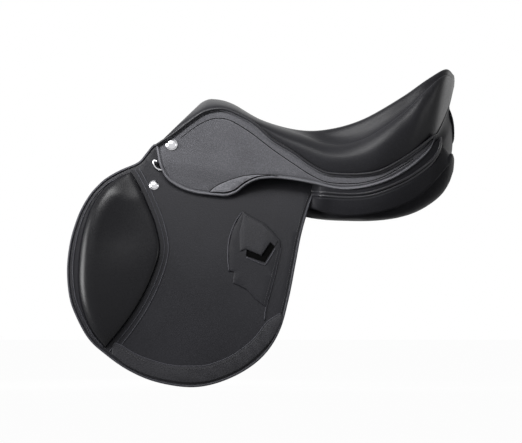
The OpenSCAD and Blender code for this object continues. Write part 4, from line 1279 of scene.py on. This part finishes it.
# Studio: a pale floor under the foot of the flaps, soft light from above, in front, behind and the right,
# and a long lens square to the left side. The white is only what the camera and reflections see.
floor_gap = 0.001
floor_white = 0.975
floor = bmesh.new()
bmesh.ops.create_grid(floor, x_segments=1, y_segments=1, size=12)
bmesh.ops.translate(floor, vec=(0, 0, cad_box[0][2] - floor_gap), verts=floor.verts)
paper = Finish("studio_paper", {"Specular IOR Level": 0.1})
fleck = paper.noise(paper.place(), 3.0, 2.0)
paper.shade({
    "Base Color": paper.between(fleck, (0.38, 0.38, 0.38), (0.42, 0.42, 0.42)),
    "Roughness": fleck * 0.1 + 0.8})
seen = paper.node("ShaderNodeLightPath", {}, {}, "Is Camera Ray")
mirrored = paper.node("ShaderNodeLightPath", {}, {}, "Is Glossy Ray")
through = paper.node("ShaderNodeLightPath", {}, {}, "Is Transmission Ray")
glow = paper.node("ShaderNodeEmission", {}, {"Color": (1, 1, 1, 1), "Strength": 1.0})
lit = paper.node("ShaderNodeMixShader", {}, {
    0: (seen + mirrored + through) * floor_white, 1: Wire(paper, paper.shader.outputs[0]), 2: glow})
paper.feed(paper.tree.nodes["Material Output"].inputs["Surface"], lit)
floor_mesh = bpy.data.meshes.new("floor")
floor.to_mesh(floor_mesh)
floor.free()
floor_mesh.materials.append(paper.material)
floor_piece = bpy.data.objects.new("floor", floor_mesh)
bpy.context.scene.collection.objects.link(floor_piece)

world = bpy.data.worlds.new("studio")
bpy.context.scene.world = world
world.use_nodes = True
sky = world.node_tree
sky.nodes.clear()
ray = sky.nodes.new("ShaderNodeLightPath")
direct = sky.nodes.new("ShaderNodeMath")
direct.operation = "MAXIMUM"
shown = sky.nodes.new("ShaderNodeMath")
shown.operation = "MAXIMUM"
room = sky.nodes.new("ShaderNodeBackground")
room.inputs["Color"].default_value = (0.9, 0.93, 1.0, 1)
room.inputs["Strength"].default_value = 0.03
white = sky.nodes.new("ShaderNodeBackground")
white.inputs["Color"].default_value = (1, 1, 1, 1)
white.inputs["Strength"].default_value = 1.0
choose = sky.nodes.new("ShaderNodeMixShader")
end = sky.nodes.new("ShaderNodeOutputWorld")
for source, output, target, socket in (
        (ray, "Is Camera Ray", direct, 0), (ray, "Is Glossy Ray", direct, 1), (direct, 0, shown, 0),
        (ray, "Is Transmission Ray", shown, 1), (shown, 0, choose, 0), (room, 0, choose, 1),
        (white, 0, choose, 2), (choose, 0, end, 0)):
    sky.links.new(source.outputs[output], target.inputs[socket])

lit_middle = Vector((0, 0, 0.02))
lights = (
    ("top_light", (-0.42, -0.70, 1.02), 1.1, 0.5, 5.2, 75),
    ("front_light", (-1.60, -0.55, 0.40), 0.9, 0.9, 6.0, 60),
    ("rear_light", (2.00, -0.80, 0.50), 0.8, 0.8, 1.6, 90),
    ("back_light", (1.50, 1.20, 0.20), 0.8, 0.8, 0.7, 90),
    ("right_light", (-0.20, 1.50, -0.02), 0.6, 0.4, 3.0, 75))
for name, place, wide, tall, power, spread in lights:
    lamp = bpy.data.lights.new(name, "AREA")
    lamp.shape = "ELLIPSE"
    lamp.size = wide
    lamp.size_y = tall
    lamp.energy = power
    lamp.spread = math.radians(spread)
    holder = bpy.data.objects.new(name, lamp)
    holder.location = place
    holder.rotation_euler = (lit_middle - Vector(place)).to_track_quat("-Z", "Y").to_euler()
    bpy.context.scene.collection.objects.link(holder)

reach = 30.0
focus_y = -0.13
picture_width = 522
picture_middle = view((261, 221.5))
lens = bpy.data.cameras.new("camera")
lens.sensor_width = 36
lens.lens = lens.sensor_width * reach / (picture_width * pixel)
lens.clip_end = 90
camera = bpy.data.objects.new("camera", lens)
camera.location = (picture_middle.x, focus_y - reach, picture_middle.y)
camera.rotation_euler = (math.radians(90), 0, 0)
bpy.context.scene.collection.objects.link(camera)
bpy.context.scene.camera = camera
bpy.context.scene.view_settings.view_transform = "Standard"
